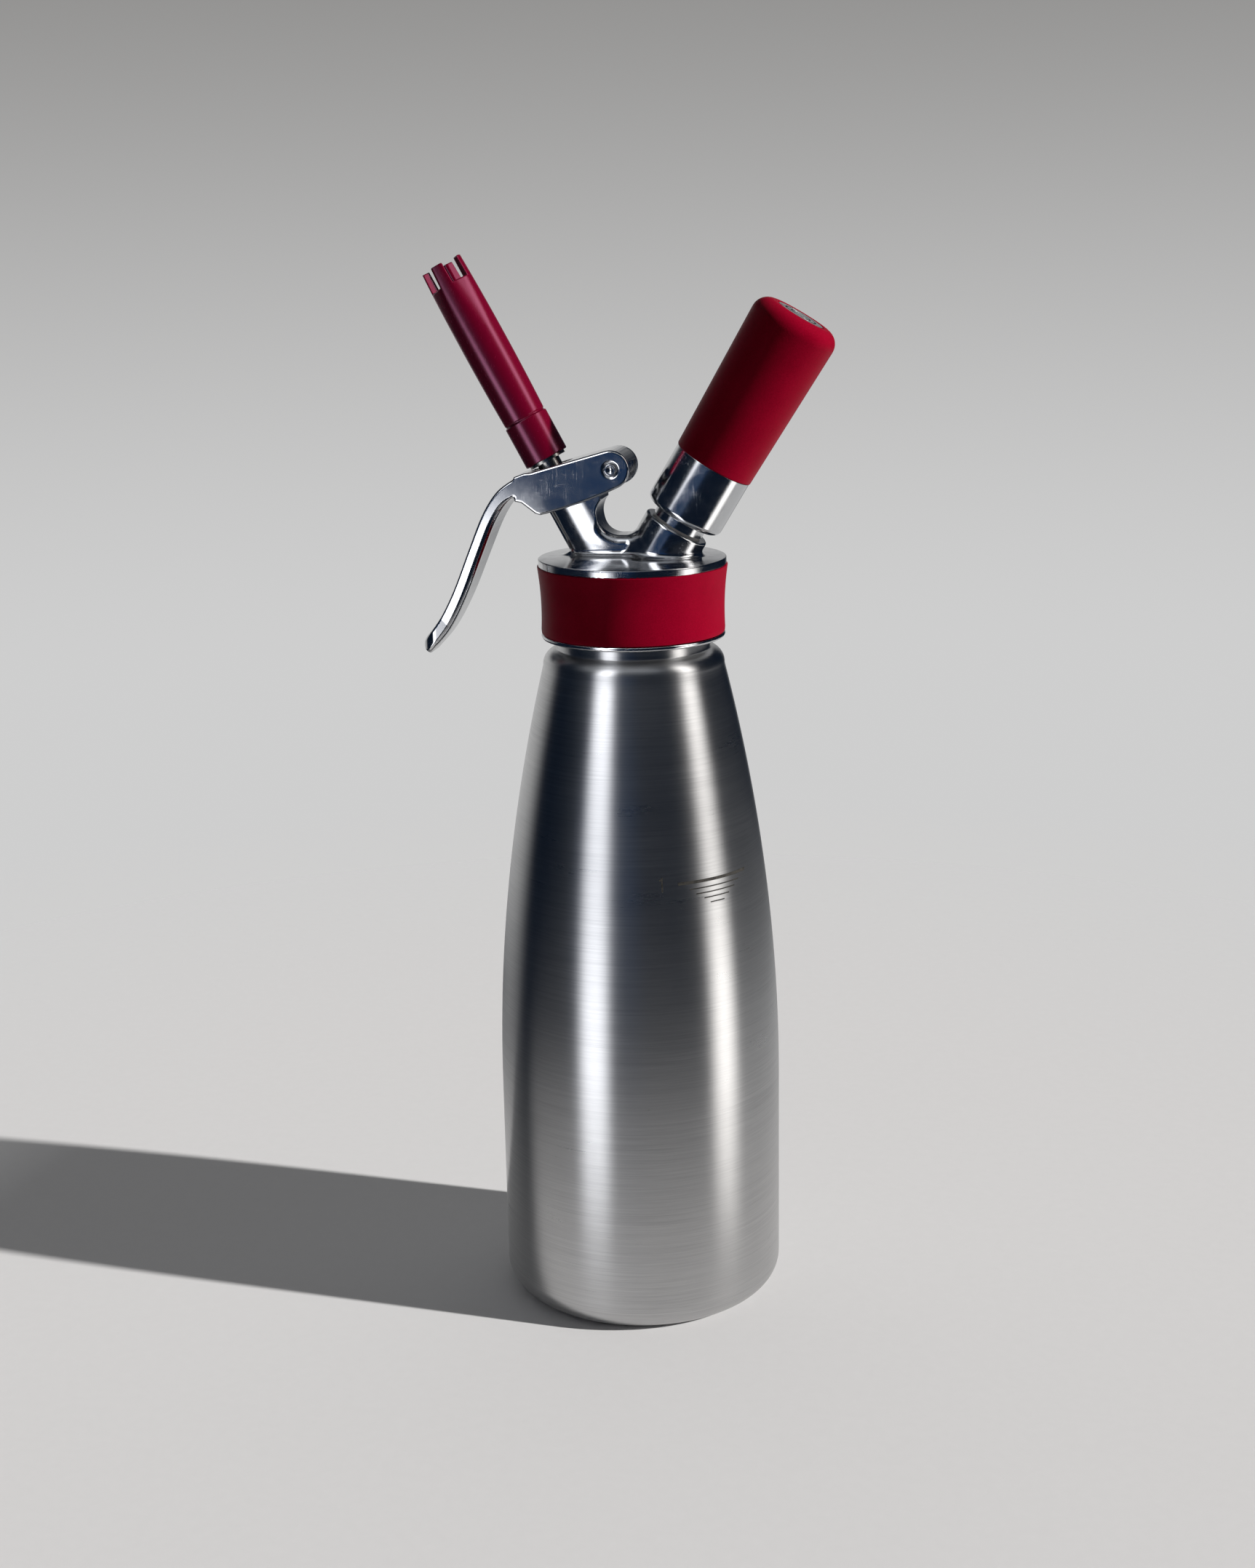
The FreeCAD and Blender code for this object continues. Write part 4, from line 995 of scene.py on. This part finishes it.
def make_tip():
    low = (-TIP_BELLY_R, -TIP_BELLY_R, TIP_FOOT)
    high = (TIP_BELLY_R, TIP_BELLY_R, TIP_FOOT + TIP_L)
    built = field_mesh(tip_field, low, high, TIP_STEP, PORT_SEAT)
    piece("star_tip", built, PLASTIC, "tip", "red_plastic", "decorator_tip")


# Charger holder

def make_holder():
    """The steel tube: plain lower part, slimmer top under the sleeve, and the bulb's bore."""
    mouth_r = POST_R + RUNNING_GAP
    corners = [(mouth_r, 0.0, EASED), (HOLDER_R, 0.0, HOLDER_ROUND), (HOLDER_R, HOLDER_BASE_L, 0.15),
               (HOLDER_TUBE_R, HOLDER_BASE_L, 0.05), (HOLDER_TUBE_R, HOLDER_TOP, EASED),
               (0.0, HOLDER_TOP, None), (0.0, HOLDER_INSIDE_L, None), (HOLDER_BORE_R, HOLDER_INSIDE_L, 1.0),
               (HOLDER_BORE_R, HOLDER_THREAD_L, SHARP), (mouth_r, HOLDER_THREAD_L, SHARP)]
    built = turned(corners, BOSS_SEAT, 192)
    piece("holder_tube", built, CHROME, "holder", "polished_steel", "charger_holder")


def make_sleeve():
    """The grip on the holder, widening to a round shoulder about the disc."""
    corners = [(HOLDER_TUBE_R, HOLDER_BASE_L, SHARP), (SLEEVE_LOW_R, HOLDER_BASE_L, 0.35),
               (SLEEVE_TOP_R, SLEEVE_TOP - SLEEVE_ROUND - 0.5, None)]
    for a in np.radians(np.arange(0, 91, 9)):
        in_by = SLEEVE_ROUND * (1 - math.cos(a))
        down_by = SLEEVE_ROUND * (1 - math.sin(a))
        corners.append((SLEEVE_TOP_R - in_by, SLEEVE_TOP - down_by, None))
    corners += [(DISC_R + SHARP, SLEEVE_TOP, 0.6), (DISC_R, HOLDER_TOP, 0.05),
                (HOLDER_TUBE_R, HOLDER_TOP, 0.2)]
    built = turned(corners, BOSS_SEAT, 192)
    piece("silicone_sleeve", built, SILICONE, "holder", "red_silicone", "holder_sleeve")


def make_disc():
    """The metal disc in the holder's end, with plain turned rings."""
    top = HOLDER_TOP + DISC_H
    corners = [(0.0, HOLDER_TOP, None), (DISC_R - HAIR, HOLDER_TOP, 0.05), (DISC_R - HAIR, top, 0.2)]
    for outer, inner in DISC_RINGS:
        for radius, height in ((outer, top), (outer - DISC_BEVEL, top - DISC_RING_DEPTH),
                               (inner + DISC_BEVEL, top - DISC_RING_DEPTH), (inner, top)):
            corners.append((radius, height, 0.08))
    corners += [(0.0, top, None)]
    piece("end_disc", turned(corners, BOSS_SEAT, 128), DISC_METAL, "holder", "disc_metal", "holder_disc")


# Finishes for the pieces whose CAD form is kept

NODE_FINISH = {
    "head_gasket": SILICONE, "valve_stem": SHADED_NICKEL, "valve_rings": BLACK_RUBBER, "valve_seal": BLACK_RUBBER,
    "valve_nut": SHADED_NICKEL, "valve_spring": SPRING_STEEL, "tip_adapter": SHADED_NICKEL, "tip_washer": WHITE_RUBBER,
    "charger_post": CHROME, "post_washer": WHITE_RUBBER, "piercing_pin": SPRING_STEEL,
    "charger_seal": BLACK_RUBBER, "check_sleeve": BLACK_RUBBER, "check_screw": SPRING_STEEL,
    "gas_charger": BULB_STEEL, "bulb_cap": SPRING_STEEL,
}


def finish_nodes():
    for name, material in NODE_FINISH.items():
        mesh = frame["nodes"][name].data
        mesh.materials.clear()
        mesh.materials.append(material)


# Studio

# Metres from the bottle's axis over which the floor fades, for the eye and for reflections
FLOOR_R = 3.0
FLOOR_SIDES = 72
FADE_START = 0.25
FADE_END = 0.65
MIRRORED_START = 0.10
MIRRORED_END = 0.33


def make_floor():
    """A pale disc that fades into the plain backdrop away from the object."""
    turns = np.radians(np.arange(FLOOR_SIDES) * 360.0 / FLOOR_SIDES)
    vertices = [(0.0, 0.0, 0.0)] + [(FLOOR_R * math.cos(a), FLOOR_R * math.sin(a), 0.0) for a in turns]
    faces = [[0, k, k % FLOOR_SIDES + 1] for k in range(1, FLOOR_SIDES + 1)]
    mesh = bpy.data.meshes.new("floor")
    mesh.from_pydata(vertices, [], faces)
    floor = bpy.data.objects.new("floor", mesh)
    bpy.context.scene.collection.objects.link(floor)
    paper = Recipe("floor_paper")
    paper.feed(Roughness=0.8, Specular_IOR_Level=0.15)
    grain = paper.noise(240.0, 3.0, 0.6)
    paper.feed(Base_Color=paper.mix(grain, (0.66, 0.66, 0.665), (0.69, 0.69, 0.695)))
    distance = paper.node("ShaderNodeVectorMath", operation="LENGTH")
    paper.link(paper.place, distance.inputs[0])
    seen = paper.span(distance.outputs["Value"], FADE_START, FADE_END, 1.0, 0.0)
    mirrored = paper.span(distance.outputs["Value"], MIRRORED_START, MIRRORED_END, 1.0, 0.0)
    glossy = paper.node("ShaderNodeLightPath").outputs["Is Glossy Ray"]
    paper.feed(Alpha=paper.math("MULTIPLY_ADD", glossy, paper.math("SUBTRACT", mirrored, seen), seen))
    mesh.materials.append(paper.material)


# The camera, solved from the bottle's outline, in metres
CAMERA_PLACE = (0.1271, -0.6926, 0.3601)
CAMERA_HEADING = math.radians(10.63)
CAMERA_PITCH = math.radians(14.55)
CAMERA_ROLL = math.radians(-1.03)
CAMERA_LENS = 50.09
CAMERA_SENSOR = 36.0


def make_camera():
    """A camera at the photo's viewing angle, with its slight roll."""
    ahead = direction(CAMERA_HEADING + math.pi / 2, -CAMERA_PITCH)
    level = direction(CAMERA_HEADING)
    upward = level.cross(ahead)
    right = level * math.cos(CAMERA_ROLL) + upward * math.sin(CAMERA_ROLL)
    top = upward * math.cos(CAMERA_ROLL) - level * math.sin(CAMERA_ROLL)
    data = bpy.data.cameras.new("camera")
    data.lens = CAMERA_LENS
    data.sensor_width = CAMERA_SENSOR
    data.clip_start = 0.02
    camera = bpy.data.objects.new("camera", data)
    turn = Matrix((right, top, -ahead)).transposed().to_4x4()
    camera.matrix_world = Matrix.Translation(CAMERA_PLACE) @ turn
    bpy.context.scene.collection.objects.link(camera)
    bpy.context.scene.camera = camera


KEY_AZIMUTH = -6.3
KEY_ELEVATION = 27.0
KEY_STRENGTH = 5.3
KEY_SPREAD = 1.3
KEY_DISTANCE = 3.0
WARM = (1.0, 0.975, 0.95)


def make_key():
    """Low sun from the right, which casts the one clear shadow."""
    data = bpy.data.lights.new("key", "SUN")
    data.energy = KEY_STRENGTH
    data.angle = math.radians(KEY_SPREAD)
    data.color = WARM
    key = bpy.data.objects.new("key", data)
    out = direction(math.radians(KEY_AZIMUTH), math.radians(KEY_ELEVATION))
    key.location = out * KEY_DISTANCE
    key.rotation_mode = "QUATERNION"
    key.rotation_quaternion = (-out).to_track_quat("-Z", "Y")
    key.visible_glossy = False
    bpy.context.scene.collection.objects.link(key)


# The room as reflections see it, with aims in degrees and bands as (aim, core, whole, colour).
# A pair is where a patch starts and where it is whole: a spread is nearness to its aim, any other is height.
BANDS = [(-118.0, 4.5, 17.0, (3.3, 3.35, 3.5)), (KEY_AZIMUTH, 1.5, 18.0, (3.5, 3.4, 3.3))]
BAND_TOP = (0.88, 0.70)
BAND_FOOT = (-0.78, -0.58)
BAND_GAP = (0.115, 0.18)
NAVY = (0.014, 0.040, 0.105)
NAVY_AIM = -108.0
NAVY_SPREAD = (0.80, 0.95)
OVERHEAD = (0.42, 0.44, 0.47)
OVERHEAD_AIM = -100.0
OVERHEAD_SPREAD = (0.10, 0.40)
OVERHEAD_FOOT = (0.50, 0.75)
ROOM_DARK = (0.006, 0.011, 0.022)
ROOM_PALE = (0.58, 0.58, 0.58)
PALE_TOP = (0.32, 0.16)
PALE_TURN = (-0.21, -0.33)
LOW_AIM = 50.0
LOW_SPREAD = (0.42, 0.66)
HIGH_AIM = 125.0
HIGH_SPREAD = (0.65, 0.97)
FILL_AIM = 100.4
FILL_SPREAD = (-0.2, 0.8)
FILL_DARK = (0.05, 0.05, 0.052)
FILL_PALE = (0.50, 0.50, 0.50)
BACKDROP_LOW = (0.62, 0.62, 0.62)
BACKDROP_HIGH = (0.23, 0.225, 0.22)
BACKDROP_TURN = (-0.2, 0.2)


class Sky(Graph):
    """The world under construction."""

    def __init__(self):
        world = bpy.data.worlds.new("studio")
        bpy.context.scene.world = world
        world.use_nodes = True
        world.cycles.sampling_method = "NONE"
        super().__init__(world.node_tree)
        self.way = self.node("ShaderNodeTexCoord").outputs["Generated"]
        split = self.node("ShaderNodeSeparateXYZ")
        self.link(self.way, split.inputs[0])
        self.x, self.y, self.z = split.outputs

    def towards(self, azimuth, low, high):
        """A ramp over how nearly a direction points along an azimuth in degrees."""
        aim = self.node("ShaderNodeVectorMath", operation="DOT_PRODUCT")
        aim.inputs[1].default_value = direction(math.radians(azimuth))
        self.link(self.way, aim.inputs[0])
        return self.ramp(aim.outputs["Value"], low, high)

    def ramp(self, value, low, high):
        return self.span(value, low, high, curve="SMOOTHSTEP")

    def rest_of(self, share):
        return self.math("SUBTRACT", 1.0, share)


def make_world():
    """A dark room with soft windows for reflections, low fill, and a plain backdrop for the camera."""
    sky = Sky()
    high_pale = sky.times(sky.towards(HIGH_AIM, *HIGH_SPREAD), sky.ramp(sky.z, *PALE_TOP))
    low_pale = sky.towards(LOW_AIM, *LOW_SPREAD)
    low = sky.ramp(sky.z, *PALE_TURN)
    pale = sky.math("ADD", sky.times(low_pale, low), sky.times(high_pale, sky.rest_of(low)))
    room = sky.mix(pale, ROOM_DARK, ROOM_PALE)
    azimuth = sky.math("ARCTAN2", sky.y, sky.x)
    off_level = sky.ramp(sky.math("ABSOLUTE", sky.z), *BAND_GAP)
    tall = sky.times(sky.ramp(sky.z, *BAND_TOP), sky.ramp(sky.z, *BAND_FOOT), off_level)
    navy = sky.times(sky.towards(NAVY_AIM, *NAVY_SPREAD), sky.rest_of(off_level))
    room = sky.mix(navy, room, NAVY)
    above = sky.times(sky.ramp(sky.z, *OVERHEAD_FOOT), sky.towards(OVERHEAD_AIM, *OVERHEAD_SPREAD))
    room = sky.mix(above, room, OVERHEAD)
    for middle, core, whole, colour in BANDS:
        away = sky.math("ABSOLUTE", sky.math("SUBTRACT", azimuth, math.radians(middle)))
        share = sky.times(sky.ramp(away, math.radians(whole), math.radians(core)), tall)
        room = sky.mix(share, room, colour)
    fill = sky.mix(sky.towards(FILL_AIM, *FILL_SPREAD), FILL_DARK, FILL_PALE)
    backdrop = sky.mix(sky.ramp(sky.z, *BACKDROP_TURN), BACKDROP_LOW, BACKDROP_HIGH)
    ray = sky.node("ShaderNodeLightPath").outputs
    shown = sky.mix(ray["Is Camera Ray"], sky.mix(ray["Is Diffuse Ray"], room, fill), backdrop)
    sky.link(shown, sky.tree.nodes["Background"].inputs["Color"])


make_camera()
make_bottle()
make_fill_marks()
make_head()
make_grip_band()
make_lever()
make_pivot_pin()
make_tip()
make_holder()
make_sleeve()
make_disc()
finish_nodes()
make_floor()
make_key()
make_world()

# Plain display colours, so that the deep reds stay deep
bpy.context.scene.view_settings.view_transform = "Standard"
